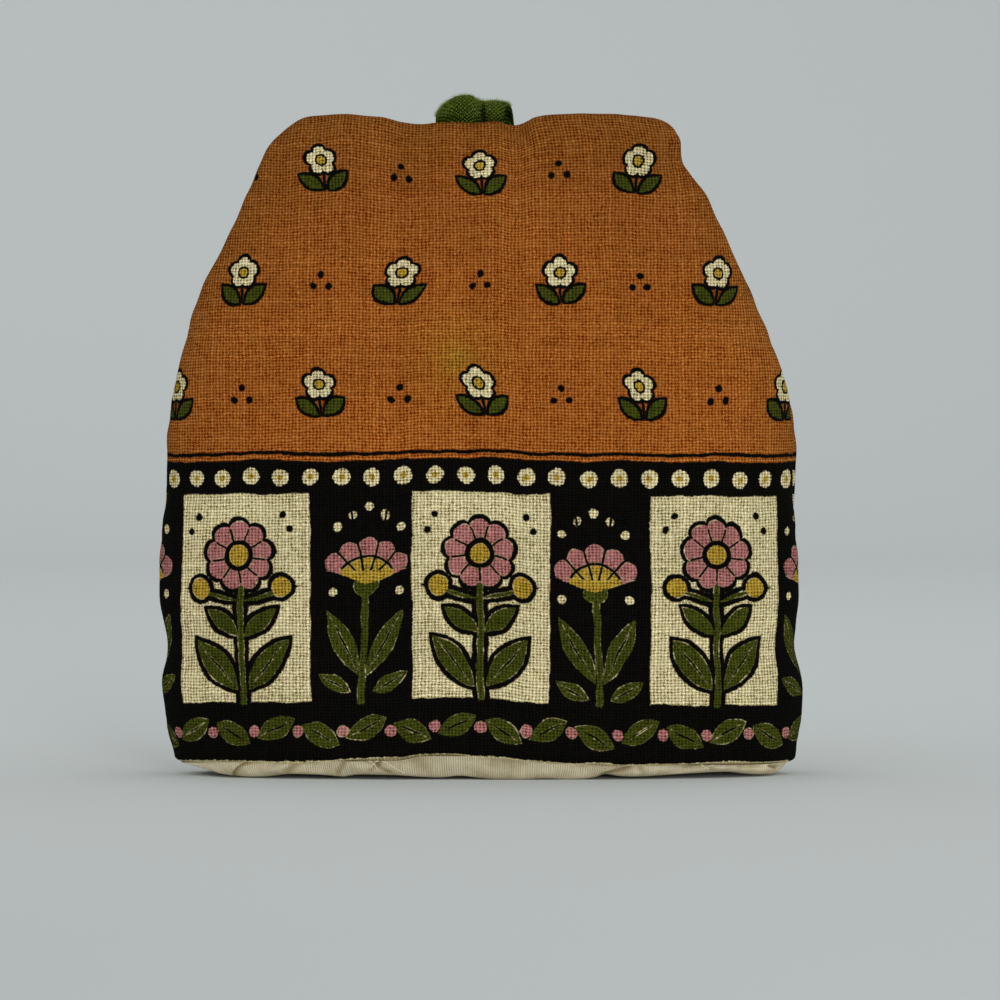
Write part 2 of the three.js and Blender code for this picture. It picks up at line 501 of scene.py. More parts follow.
@dataclass
class Panel:
    """One panel of printed linen with its wadding.

    Each row is a closed ring: along the outside and back along the inside. The hem is a half-round fold, the
    cloth sinks into the seams, and soft creases, puckers and slow waves are raised along the surface normal.
    """

    face: Face
    shape: CosyShape
    thickness: float = 2.4
    columns: int = 180
    rows: int = 150
    fold_rows: int = 7
    fold_reach: float = 0.92
    fold_height: float = 0.9
    groove_depth: float = 0.8
    groove_width: float = 1.2
    groove_turn: float = 3.0
    groove_drop: float = 0.5
    seam_half_gap: float = 0.02
    pucker_length: float = 6.3
    pucker_height: float = 0.16
    pucker_reach: float = 5.0
    pucker_even: float = 0.6
    pucker_beat: float = 2.7
    top_band: float = 8.0
    crease_fade: float = 0.7
    seam_nearness_reach: float = 6.5
    back_cut: float = -130.0
    loop_middle: float = -0.95
    loop_half: float = 6.3
    loop_fade: float = 1.4
    loop_room: float = 0.75
    loop_reach: float = 5.0
    creases: tuple[Crease, ...] = (
        Crease(Face.FRONT, 4.8, 103.2, 9.5, 95.5, 1.3, 0.75),
        Crease(Face.FRONT, 10.5, 103.4, 16.5, 101.0, 3.2, -0.55),
        Crease(Face.FRONT, -9.5, 103.0, -13.0, 97.0, 1.8, 0.35),
        Crease(Face.FRONT, -15.0, 103.2, -24.0, 101.5, 3.4, -0.4),
        Crease(Face.FRONT, 31.5, 97.0, 24.0, 94.0, 1.7, 0.6),
        Crease(Face.FRONT, -49.0, 21.5, -37.0, 25.0, 1.9, 0.45),
        Crease(Face.FRONT, -48.0, 15.0, -40.0, 11.0, 2.6, -0.4),
        Crease(Face.FRONT, 49.0, 21.0, 38.0, 18.0, 1.9, 0.45),
        Crease(Face.FRONT, 49.0, 57.0, 41.0, 60.0, 2.4, 0.25),
        Crease(Face.FRONT, -4.0, 3.0, -7.0, 14.0, 2.8, 0.3),
        Crease(Face.FRONT, 18.0, 2.5, 21.0, 11.0, 2.4, 0.25),
        Crease(Face.BACK, -6.0, 103.0, -11.0, 95.0, 1.5, 0.6),
        Crease(Face.BACK, 6.0, 103.2, 10.0, 97.0, 1.7, 0.5),
        Crease(Face.BACK, 48.0, 24.0, 36.0, 29.0, 2.0, 0.5),
        Crease(Face.BACK, -48.0, 40.0, -38.0, 37.0, 2.2, 0.4),
        Crease(Face.BACK, 10.0, 3.0, 6.0, 16.0, 3.0, 0.4),
    )
    waves: tuple[Wave, ...] = (
        Wave(47, 61, 0.4, 0.22),
        Wave(-31, 38, 2.1, 0.16),
        Wave(23, -27, 4.0, 0.1),
        Wave(15, 19, 1.2, 0.05),
    )

    @property
    def name(self) -> str:
        """The piece's name, and with _panel its node's."""
        return self.face.name.lower()

    def relief(self, points: np.ndarray, depth: np.ndarray) -> np.ndarray:
        """Height of the fine form over the plain body: waves and seam puckers, less the creases.

        Args:
            points: Grid of points on the plain body.
            depth: Their distance from the seam plane.

        Returns:
            Millimetres outwards, zero at the seams.
        """
        x, z = points[..., 0], points[..., 2]
        height = np.zeros_like(x)
        for wave in self.waves:
            turn = FULL_TURN * (x / wave.across + z / wave.up)
            height += wave.height * np.sin(turn + wave.phase + self.face.value)
        along_seam = np.where(z > self.shape.top_height - self.top_band, x, z)
        ripple = np.sin(FULL_TURN * along_seam / self.pucker_length + self.face.value)
        beat = np.sin(FULL_TURN * along_seam / (self.pucker_beat * self.pucker_length))
        ripple *= self.pucker_even + (1 - self.pucker_even) * beat
        height += self.pucker_height * ripple * np.exp(-((depth / self.pucker_reach) ** 2))
        for crease in self.creases:
            if crease.face is not self.face:
                continue
            start, end = (crease.x_from, crease.height_from), (crease.x_to, crease.height_to)
            depth_share, along = trough(np.stack((x, z), axis=-1), start, end, crease.width)
            height -= crease.depth * (1 - self.crease_fade * along) * depth_share
        return height * (1 - np.exp(-((depth / self.groove_width) ** 2)))

    def parting(self, x: np.ndarray, height: np.ndarray) -> np.ndarray:
        """How far the panel stands off the seam plane to let the loop in: full over the tape, fading past it.

        Args:
            x: Place across.
            height: Height over the surface.

        Returns:
            Millimetres from the seam plane.
        """
        over = 1 - np.clip((np.abs(x - self.loop_middle) - self.loop_half) / self.loop_fade, 0, 1)
        near_top = np.clip(1 - (self.shape.top_height - height) / self.loop_reach, 0, 1)
        return self.seam_half_gap + self.loop_room * over * over * (3 - 2 * over) * near_top

    def row_heights(self, edge: np.ndarray, fold: np.ndarray, inset: float) -> np.ndarray:
        """Heights of the rows: half round up the hem fold, then by the sine of a turn up to the top seam.

        Args:
            edge: Height of the lower edge at each column.
            fold: Angles of the fold's rows, up to zero.
            inset: Distance in from the body's outside.

        Returns:
            A row of heights for each ring.
        """
        low = edge + self.fold_height
        share = np.sin(np.linspace(0, QUARTER_TURN, self.rows + 1))[:, None]
        over = low + (self.shape.top_height - inset - low) * share
        under = edge + self.fold_height * (1 + np.sin(fold))[:, None]
        return np.concatenate((under, over))

    def build(self) -> ClothMesh:
        """Works out the panel's rings, from the hem fold up to the top seam.

        Returns:
            The panel as rings, with flat coordinates measured along the cloth.
        """
        turn = np.linspace(-QUARTER_TURN, QUARTER_TURN, self.columns + 1)
        edge = self.shape.hem_edge(np.sin(turn))
        fold = np.linspace(-self.fold_reach * QUARTER_TURN, 0, self.fold_rows, endpoint=False)
        half = self.thickness / 2
        fold_inset = np.concatenate((half * (1 - np.cos(fold)), np.zeros(self.rows + 1)))[:, None]
        turns = np.broadcast_to(turn, (len(fold_inset), len(turn)))
        height = self.row_heights(edge, fold, 0.0)
        depth = self.shape.depth(self.face, np.sin(turns), height, np.zeros_like(turns))
        groove = self.groove_depth * np.exp(-((depth / self.groove_width) ** 2))
        under_top = np.clip((self.shape.top_height - height) / self.groove_turn, 0, 1)
        outside = self.shape.points(self.face, turns, height, fold_inset + groove * under_top)
        outside[..., 2] -= groove * (1 - under_top) * self.groove_drop
        normal = surface_normals(outside) * -self.face.value
        outside += normal * self.relief(outside, depth)[..., None]
        inner_height = self.row_heights(edge, fold, self.thickness)
        inside = self.shape.points(self.face, turns, inner_height, self.thickness - fold_inset)
        for surface in (outside, inside):
            surface[..., 1] += self.face.value * self.parting(surface[..., 0], height)
        middle = self.columns // 2
        across = arc_length(outside, axis=1)
        across = across - across[:, middle : middle + 1]
        up = np.broadcast_to(arc_length(outside[:, middle], axis=0)[:, None], across.shape)
        cut_from = self.back_cut if self.face is Face.BACK else 0.0
        # Nearness to the seams, where the linen is darker, partly as worn dye and partly as painted shade.
        seam_nearness = np.exp(-((depth / self.seam_nearness_reach) ** 2))
        flat = np.stack((across * -self.face.value + cut_from, up), axis=-1)
        pair = (outside, inside) if self.face is Face.FRONT else (inside, outside)
        marks = {FlatCloth.SEAM_NEARNESS: there_and_back(seam_nearness, seam_nearness)}
        return ClothMesh(f"{self.name}_linen", there_and_back(*pair), there_and_back(flat, flat), marks)

    def dress(self, material: bpy.types.Material) -> bpy.types.Object:
        """Makes the panel, gives it its cloth and ties it to the frame.

        Args:
            material: The printed linen.

        Returns:
            The finished piece.
        """
        made = self.build().to_object()
        made.data.materials.append(material)
        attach(made, BODY)
        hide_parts(f"{self.name}_panel")
        return made


# Lining


class RollRow(NamedTuple):
    """A point of the hem roll's section: inset from the body's outside, and share of the ledge's height."""

    inset: float
    rise: float


class FootRow(NamedTuple):
    """How far the roll's foot lifts off the surface at a place across the front."""

    x: float
    lift: float


class FoldRow(NamedTuple):
    """A fold in the front of the roll: its ends across and round the section; a negative depth is a ridge."""

    x_from: float
    at_from: float
    x_to: float
    at_to: float
    width: float
    depth: float


@dataclass
class Lining:
    """The cotton pocket, which rolls out under the print.

    Its rings run down the inside, round the hem roll and up the outside, which the panels hide. The roll is
    uneven: slow waves swell it, its foot lifts in places, short folds slant over it, a flap laps over near
    the left end, and it draws back from the side seams.
    """

    shape: CosyShape
    outer_inset: float = 2.85
    inner_inset: float = 3.85
    under_panel: float = 0.05
    half_columns: int = 560
    flap_columns: int = 90
    flap_band: float = 0.06
    inside_rows: int = 20
    outside_rows: int = 8
    roll_steps: int = 44
    inner_hem: float = 2.8
    least_roll: float = 0.3
    top_share: float = 0.97
    seam_fade: float = 12.0
    belly_at: float = 0.42
    belly_reach: float = 0.2
    seen_in: float = 8.0
    seen_out: float = 4.0
    seen_to: float = 0.8
    back_lift: float = 0.35
    back_narrowness: float = 8.0
    left_recess: float = 0.7
    right_recess: float = 1.1
    recess_narrowness: float = 14.0
    flap_x: float = -38.3
    flap_slant: float = 3.2
    flap_length: float = 6.5
    flap_drop: float = 0.1
    flap_steepness: float = 4.0
    flap_swell: float = 0.8
    flap_tuck: float = 0.55
    flap_fade: float = 0.6
    flap_top: float = 1.06
    flap_top_fade: float = 0.12
    corner_x: float = 45.6
    corner_half: float = 2.2
    corner_swell: float = 0.45
    section_length: float = 6.0
    pale_reach: float = 3.5
    # How deep a fold is where its painted shade is full.
    fold_shade_depth: float = 0.4
    crease_at: float = 0.3
    crease_width: float = 0.055
    crease_depth: float = 0.3
    crease_length: float = 33.0
    crease_phase: float = 1.9
    foot: tuple[FootRow, ...] = (
        FootRow(-48.5, 2.2),
        FootRow(-44.3, 1.05),
        FootRow(-41.5, 0.45),
        FootRow(-38, 0.15),
        FootRow(-34.5, 0.3),
        FootRow(-31, 0.7),
        FootRow(-25, 0.6),
        FootRow(-22.2, 0.4),
        FootRow(-20, 0.7),
        FootRow(-14, 0.65),
        FootRow(-9.5, 0.4),
        FootRow(-6.5, 0.3),
        FootRow(-3.3, 0.55),
        FootRow(-0.2, 0.25),
        FootRow(2.5, 0.0),
        FootRow(7.5, 0.0),
        FootRow(10.4, 0.12),
        FootRow(14.5, 0.0),
        FootRow(18, 0.25),
        FootRow(20, 0.8),
        FootRow(22.5, 0.45),
        FootRow(26, 0.4),
        FootRow(33, 0.75),
        FootRow(40, 0.9),
        FootRow(44, 0.4),
        FootRow(46.5, 0.25),
        FootRow(48, 0.4),
        FootRow(48.8, 1.0),
        FootRow(49.3, 2.2),
    )
    folds: tuple[FoldRow, ...] = (
        FoldRow(-37.0, 0.26, -34.0, 0.22, 0.3, 0.3),
        FoldRow(-27.8, 0.14, -30.5, 0.52, 0.6, 0.35),
        FoldRow(-29.6, 0.16, -32.0, 0.5, 0.8, -0.2),
        FoldRow(-20.5, 0.14, -22.4, 0.5, 0.45, 0.35),
        FoldRow(-18.0, 0.12, -14.3, 0.5, 0.4, 0.32),
        FoldRow(-14.8, 0.12, -17.2, 0.48, 0.4, 0.28),
        FoldRow(-10.5, 0.2, -8.0, 0.5, 0.8, 0.2),
        FoldRow(2.0, 0.3, 6.5, 0.22, 0.8, 0.22),
        FoldRow(9.0, 0.42, 14.0, 0.35, 0.8, -0.16),
        FoldRow(19.5, 0.56, 23.2, 0.25, 0.5, 0.42),
        FoldRow(24.5, 0.2, 25.5, 0.5, 0.5, 0.28),
        FoldRow(27.0, 0.18, 28.4, 0.45, 0.7, -0.2),
        FoldRow(32.0, 0.3, 34.3, 0.2, 0.45, 0.28),
        FoldRow(35.4, 0.2, 36.4, 0.45, 0.45, 0.28),
        FoldRow(40.5, 0.3, 43.5, 0.22, 0.6, 0.22),
        FoldRow(45.2, 0.3, 47.2, 0.38, 0.28, 0.5),
    )
    roll: tuple[RollRow, ...] = (
        RollRow(2.85, 1.0),
        RollRow(1.1, 1.0),
        RollRow(0.4, 1.06),
        RollRow(0.34, 0.86),
        RollRow(0.42, 0.55),
        RollRow(0.68, 0.27),
        RollRow(1.2, 0.07),
        RollRow(1.9, 0.0),
        RollRow(2.7, 0.0),
        RollRow(3.4, 0.04),
        RollRow(3.75, 0.3),
    )
    waves: tuple[Wave, ...] = (
        Wave(19.0, 4.0, 0.6, 0.26),
        Wave(8.3, -3.0, 2.2, 0.2),
        Wave(4.7, 2.0, 1.1, 0.09),
    )

    def turns(self) -> np.ndarray:
        """Angles of the columns: even steps from seam to seam, with more of them about the flap's edge.

        Returns:
            The angles, rising.
        """
        even = np.linspace(-QUARTER_TURN, QUARTER_TURN, self.half_columns + 1 - self.flap_columns)
        flap = math.asin(self.flap_x / self.shape.mouth_half_width)
        close = np.linspace(flap - self.flap_band, flap + self.flap_band, self.flap_columns)
        return np.sort(np.concatenate((even, close)))

    def section(self, at: np.ndarray) -> tuple[np.ndarray, np.ndarray]:
        """The roll's section, as the smooth curve of its table.

        Args:
            at: Share of the way round, from under the panel to the inside.

        Returns:
            Inset, and rise as a share of the ledge's height.
        """
        shares = np.linspace(0, 1, len(self.roll))
        insets, rises = np.transpose(self.roll)
        return smooth_column(shares, insets, at), np.maximum(smooth_column(shares, rises, at), 0)

    def flap(self, x: np.ndarray, at: np.ndarray) -> tuple[np.ndarray, np.ndarray]:
        """The flap that laps over the front of the roll up to a slanting edge.

        It swells towards its edge and ends there by a sharp S-curve. The cloth beside it is tucked under,
        less and less with the distance.

        Args:
            x: Place across.
            at: Share of the way round the section.

        Returns:
            Swell of the flap, and depth of the tuck, both in millimetres.
        """
        rise = self.section(at)[1]
        off = x - self.flap_x - self.flap_slant * (rise - 0.5)
        power = np.clip(-self.flap_steepness * off / self.flap_drop, -LARGEST_POWER, LARGEST_POWER)
        past = 1 / (1 + np.exp(power))
        swell = self.flap_swell * np.clip(1 + off / self.flap_length, 0, 1) * (1 - past)
        under = np.clip((self.flap_top - rise) / self.flap_top_fade, 0, 1)
        return swell, self.flap_tuck * under * past * np.exp(-np.maximum(off, 0) / self.flap_fade)

    def swell(self, face: Face, x: np.ndarray, rise: np.ndarray) -> np.ndarray:
        """Swell of the roll: slow waves, which slant by a length over its height, and a corner in front.

        Args:
            face: The side that the roll is on.
            x: Place across.
            rise: Share of the roll's height.

        Returns:
            Millimetres outwards.
        """
        out = np.zeros_like(x + rise)
        for wave in self.waves:
            turn = FULL_TURN * (x + wave.up * rise) / wave.across
            out += wave.height * np.sin(turn + wave.phase + face.value)
        if face is Face.FRONT:
            out += self.corner_swell * hill((x - self.corner_x) / self.corner_half)
        return out

    def fold_depth(self, x: np.ndarray, at: np.ndarray) -> np.ndarray:
        """Depth of the folds at places on the front of the roll.

        Args:
            x: Place across.
            at: Share of the way round the section.

        Returns:
            Millimetres inwards, for the two arrays spread against each other.
        """
        place = np.stack(np.broadcast_arrays(x, at * self.section_length), axis=-1)
        depth = np.zeros(place.shape[:-1])
        for fold in self.folds:
            start = (fold.x_from, fold.at_from * self.section_length)
            end = (fold.x_to, fold.at_to * self.section_length)
            depth += fold.depth * trough(place, start, end, fold.width)[0]
        return depth

    def hem_x(self, turn: np.ndarray) -> np.ndarray:
        """Place across of points of the hem, from their turn."""
        across, level = np.sin(turn), np.zeros_like(turn)
        return across * self.shape.half_width(across, level, level)

    def roll_surface(self, face: Face, turn: np.ndarray, at: np.ndarray) -> np.ndarray:
        """Points of the hem roll: its section's inset and rise, swelled, creased and lifted along the hem.

        Args:
            face: The side that the roll is on.
            turn: Angle across, in radians.
            at: Share of the way round the section, from under the panel to the inside.

        Returns:
            Points for the two arrays spread against each other.
        """
        across = np.sin(turn)
        ledge = self.shape.hem_edge(across) - self.under_panel
        x = self.hem_x(turn)
        inwards = np.clip((1 - np.abs(across)) * self.seam_fade, 0, 1)
        recess = np.where(across < 0, self.left_recess, self.right_recess)
        recess = recess * np.abs(across) ** self.recess_narrowness
        inset, rise = self.section(at)
        belly = np.exp(-(((at - self.belly_at) / self.belly_reach) ** 2))
        comes_and_goes = np.sin(FULL_TURN * x / self.crease_length + self.crease_phase * face.value) ** 2
        near_crease = np.exp(-(((at - self.crease_at) / self.crease_width) ** 2))
        crease = self.crease_depth * comes_and_goes * near_crease
        seen = np.clip(self.seen_in * at, 0, 1) * np.clip(self.seen_out * (self.seen_to - at), 0, 1)
        inset = inset + seen * recess + (crease - belly * self.swell(face, x, rise)) * inwards
        lift = smooth_column(*np.transpose(self.foot), x)
        if face is Face.FRONT:
            inset = inset + belly**0.5 * self.fold_depth(x, at)
        else:
            to_side = np.abs(across) ** self.back_narrowness
            lift = lift * (self.back_lift + (1 - self.back_lift) * to_side)
        lift = np.clip(lift, 0, ledge - self.least_roll)
        height, inset, turn = np.broadcast_arrays(lift + (ledge - lift) * rise, inset, turn)
        points = self.shape.points(face, turn, height, inset)
        if face is Face.FRONT:
            swell, tuck = self.flap(x, at)
            points[..., 1] -= belly**0.5 * (swell - tuck)
        return points

    def wall(self, face: Face, low: np.ndarray, inset: float, count: int) -> np.ndarray:
        """Points up one wall of the pocket to just under its top seam, by the sine of a turn.

        Args:
            face: The side that the wall is on.
            low: Height that it starts from, at each column.
            inset: Distance in from the body's outside.
            count: How many rows it has.

        Returns:
            A grid of points, its rows upwards.
        """
        share = np.sin(np.linspace(0, self.top_share * QUARTER_TURN, count + 1))[1:, None]
        height = low + (self.shape.top_height - inset - low) * share
        turns = np.broadcast_to(self.turns(), height.shape)
        return self.shape.points(face, turns, height, np.full_like(height, inset))

    def surface(self, face: Face) -> np.ndarray:
        """One face's rows of points, from the top of the inside, round the roll, to the top of the outside.

        Args:
            face: The side to work out.

        Returns:
            A grid of points, its columns from the left seam to the right one.
        """
        turn = self.turns()
        roll = self.roll_surface(face, turn, np.linspace(0, 1, self.roll_steps)[:, None])
        inner_low = np.full_like(turn, self.inner_hem)
        inside = self.wall(face, inner_low, self.inner_inset, self.inside_rows)
        ledge = self.shape.hem_edge(np.sin(turn)) - self.under_panel
        outside = self.wall(face, ledge, self.outer_inset, self.outside_rows)
        return np.concatenate((inside[::-1], roll[::-1], outside))

    def marks(self, size: tuple[int, int]) -> dict[str, np.ndarray]:
        """The marks of the rings' points: painted shade in the folds of the front's roll, pale towards the side
        seams.

        Args:
            size: How many rings there are, and how many points each has.

        Returns:
            The values by their names.
        """
        turn = self.turns()
        x = self.hem_x(turn)
        at = np.linspace(1, 0, self.roll_steps)[:, None]
        creased = self.fold_depth(x, at) + self.flap(x, at)[1]
        # Painted shade: darker in the deeper folds and in the flap's tuck.
        dark = np.zeros(size)
        on_roll = slice(self.inside_rows, self.inside_rows + self.roll_steps)
        dark[on_roll, : len(turn)] = np.clip(creased / self.fold_shade_depth, 0, 1)
        ends = np.abs(np.sin(turn)) ** self.pale_reach
        pale = np.broadcast_to(np.concatenate((ends, ends[-2:0:-1])), size)
        return {FlatCloth.FOLD_SHADE: dark, FlatCloth.SEAM_NEARNESS: pale}

    def build(self) -> ClothMesh:
        """Joins the two faces into rings: the front from left to right, then the back from right to left.

        Returns:
            The lining as rings, with flat coordinates measured round and up the pocket.
        """
        front, back = self.surface(Face.FRONT), self.surface(Face.BACK)
        rings = np.concatenate((front, back[:, -2:0:-1]), axis=1)
        round_it = arc_length(rings[self.inside_rows + self.roll_steps // 2], axis=0)
        round_it = round_it - round_it[self.half_columns // 2]
        flat = np.stack(np.broadcast_arrays(round_it, arc_length(rings, axis=0)), axis=-1)
        return ClothMesh("lining_cotton", rings, flat, self.marks(rings.shape[:2]), shared_ends=True)

    def dress(self, material: bpy.types.Material) -> bpy.types.Object:
        """Makes the lining, gives it its cotton and ties it to the frame.

        Args:
            material: The lining cotton.

        Returns:
            The finished piece.
        """
        made = self.build().to_object()
        made.data.materials.append(material)
        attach(made, BODY)
        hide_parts("lining")
        return made


# Hem stitches


class StitchRow(NamedTuple):
    """A stitch over the hem roll: where its ends are across the front and round the roll's section."""

    x_from: float
    at_from: float
    x_to: float
    at_to: float


@dataclass
class HemStitches:
    """Loose slip stitches of pale thread over the front of the hem roll.

    Each path runs straight from end to end over the roll, a thread's thickness off it, and its ends sink in.
    """

    lining: Lining
    radius: float = 0.1
    sink: float = 2.4
    sink_narrowness: int = 6
    steps: int = 16
    sides: int = 8
    rows: tuple[StitchRow, ...] = (
        StitchRow(-17.4, 0.16, -15.9, 0.44),
        StitchRow(-15.8, 0.16, -17.3, 0.41),
        StitchRow(-15.2, 0.2, -11.8, 0.54),
        StitchRow(-33.0, 0.14, -32.1, 0.27),
        StitchRow(10.2, 0.14, 9.5, 0.26),
        StitchRow(34.3, 0.16, 35.8, 0.46),
        StitchRow(36.4, 0.14, 35.5, 0.33),
    )

    def dress(self, material: bpy.types.Material) -> bpy.types.Object:
        """Makes the stitches, gives them their thread and ties them to the frame.

        Args:
            material: The sewing thread.

        Returns:
            The finished piece.
        """
        share = np.linspace(0, 1, self.steps)
        x_from, at_from, x_to, at_to = np.transpose(self.rows)[..., None]
        x = x_from + (x_to - x_from) * share
        at = at_from + (at_to - at_from) * share
        level = np.zeros_like(x)
        across = x / self.lining.shape.half_width(x, level, level)
        paths = self.lining.roll_surface(Face.FRONT, np.arcsin(across), at)
        paths[..., 1] -= self.radius * (1 - self.sink * np.abs(2 * share - 1) ** self.sink_narrowness)
        made = thread_object("hem_stitches", paths, np.full(self.steps, self.radius), self.sides)
        made.data.materials.append(material)
        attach(made, BODY)
        return made


# Loop


class LoopRow(NamedTuple):
    """A point of the folded tape's outline, seen from the front."""

    x: float
    top: float


class SectionRow(NamedTuple):
    """Half-depth of the folded tape at a share of its height."""

    share: float
    half_depth: float


@dataclass
class TapeLoop:
    """The folded tape, pressed down into a low mound of two lobes over the top seam.

    Each ring stands across the seam: down the front and up the back. Its height follows the outline and its
    depth follows the section, drawn in at the kink between the lobes and hollowed at the right end.
    """

    foot: float = 100.9
    along_steps: int = 130
    side_steps: int = 40
    end_roundness: int = 8
    least_end: float = 0.02
    least_depth: float = 0.2
    kink_x: float = 0.35
    kink_top: float = 106.2
    kink_fade: float = 1.8
    kink_shade: float = 0.85
    kink_reach: float = 0.5
    kink_depth: float = 0.42
    hollow_x: float = 4.35
    hollow_z: float = 103.7
    hollow_half_width: float = 1.3
    hollow_half_height: float = 2.3
    hollow_depth: float = 1.5
    outline: tuple[LoopRow, ...] = (
        LoopRow(-7.1, 101.6),
        LoopRow(-7.12, 102.7),
        LoopRow(-7.0, 103.8),
        LoopRow(-6.3, 105.05),
        LoopRow(-5.2, 105.95),
        LoopRow(-3.95, 106.6),
        LoopRow(-2.7, 106.85),
        LoopRow(-1.6, 106.8),
        LoopRow(-0.85, 106.35),
        LoopRow(-0.15, 106.0),
        LoopRow(0.6, 105.9),
        LoopRow(1.65, 106.0),
        LoopRow(2.7, 105.95),
        LoopRow(3.8, 105.8),
        LoopRow(4.4, 105.5),
        LoopRow(4.8, 104.9),
        LoopRow(5.05, 103.8),
        LoopRow(5.2, 102.4),
        LoopRow(5.2, 101.6),
    )
    section: tuple[SectionRow, ...] = (
        SectionRow(0.0, 0.5),
        SectionRow(0.3, 0.52),
        SectionRow(0.42, 0.95),
        SectionRow(0.55, 1.5),
        SectionRow(0.7, 1.7),
        SectionRow(0.85, 1.4),
        SectionRow(0.95, 0.8),
        SectionRow(1.0, 0.0),
    )

    def hollow(self, x: np.ndarray, z: np.ndarray) -> np.ndarray:
        """Share of the right end's hollow: a round hill, taller than wide."""
        aside = (x - self.hollow_x) / self.hollow_half_width
        return hill(np.hypot(aside, (z - self.hollow_z) / self.hollow_half_height))

    def kink(self, x: np.ndarray) -> np.ndarray:
        """Share of the kink between the lobes, which falls off by the square of the distance."""
        return np.exp(-(((x - self.kink_x) / self.kink_reach) ** 2))

    def fold_shade_marks(self, rings: np.ndarray) -> np.ndarray:
        """Painted shade on the tape: how far each point lies in the kink, which opens towards the top, or in
        the hollow.
        """
        shut = self.kink_shade * np.clip((self.kink_top - rings[..., 2]) / self.kink_fade, 0, 1)
        return np.maximum(self.hollow(rings[..., 0], rings[..., 2]), shut * self.kink(rings[..., 0]))

    def rings(self) -> np.ndarray:
        """Works out the mound's rings from left to right, each down the front and up the back.

        Returns:
            A grid of points, a row for each ring.
        """
        t = np.linspace(0, 1, self.along_steps + 1)
        shares = np.linspace(0, 1, len(self.outline))
        xs, tops = np.transpose(self.outline)
        x = smooth_column(shares, xs, t)[:, None]
        top = smooth_column(shares, tops, t)[:, None]
        up = np.sin(np.linspace(0, QUARTER_TURN, self.side_steps))
        half = smooth_column(*np.transpose(self.section), up)
        ends = np.sqrt(np.clip(1 - (2 * t - 1) ** self.end_roundness, self.least_end, 1))[:, None]
        z = self.foot + (top - self.foot) * up
        half = half * ends * (1 - self.kink_depth * self.kink(x))
        dent = self.hollow_depth * self.hollow(x, z)
        across = np.broadcast_to(x, z.shape)
        front = np.stack((across, np.minimum(-self.least_depth, dent - half), z), axis=-1)
        back = np.stack((across, half, z), axis=-1)
        return np.concatenate((front[:, ::-1], back), axis=1)

    def dress(self, material: bpy.types.Material) -> bpy.types.Object:
        """Makes the loop, gives it its tape and ties it to the frame.

        Args:
            material: The bias tape.

        Returns:
            The finished piece, with flat coordinates along the seam and round the tape.
        """
        rings = self.rings()
        flat = np.stack((rings[..., 0], arc_length(rings, axis=1)), axis=-1)
        # Painted shade in the kink and the hollow.
        made = ClothMesh("loop_tape", rings, flat, {FlatCloth.FOLD_SHADE: self.fold_shade_marks(rings)}).to_object()
        made.data.materials.append(material)
        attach(made, BODY)
        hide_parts("loop")
        return made


@dataclass
class LoopFuzz:
    """Fine fibres that stand off the tape.

    Each grows from a random point of the loop along the normal there, leans a random way, bends over by the
    square of its length and thins to its tip.
    """

    loop: TapeLoop
    fibres: int = 6000
    seed: int = 11
    lowest: float = 103.4
    most_fold: float = 0.3
    shortest: float = 0.08
    longest: float = 0.36
    lean: float = 0.75
    bend: float = 0.9
    radius: float = 0.013
    thinning: float = 0.7
    steps: int = 5
    sides: int = 3

    def dress(self, material: bpy.types.Material) -> bpy.types.Object:
        """Makes the fibres, gives them their finish and ties them to the frame.

        Args:
            material: The fibres' finish.

        Returns:
            The finished piece.
        """
        chance_of = np.random.default_rng(self.seed)
        rings = self.loop.rings()
        normals = surface_normals(rings)
        outwards = rings - rings.mean(axis=(0, 1))
        normals *= np.sign(np.sum(normals * outwards, axis=-1, keepdims=True))
        open_face = self.loop.fold_shade_marks(rings) < self.most_fold
        ring, corner = np.nonzero(open_face & (rings[..., 2] > self.lowest))
        pick = chance_of.integers(0, len(ring), self.fibres)
        root, normal = rings[ring[pick], corner[pick]], normals[ring[pick], corner[pick]]
        grow = normal + self.lean * chance_of.uniform(-1, 1, (self.fibres, 3))
        curl = self.bend * chance_of.uniform(-1, 1, (self.fibres, 3))
        size = chance_of.uniform(self.shortest, self.longest, (self.fibres, 1, 1))
        share = np.linspace(0, 1, self.steps)[:, None]
        paths = root[:, None] + size * (grow[:, None] * share + curl[:, None] * share**2)
        radii = self.radius * (1 - self.thinning * share[:, 0])
        made = thread_object("loop_fuzz", paths, radii, self.sides)
        made.data.materials.append(material)
        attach(made, BODY)
        return made


# Node arithmetic

Operand = Union["Field", float]


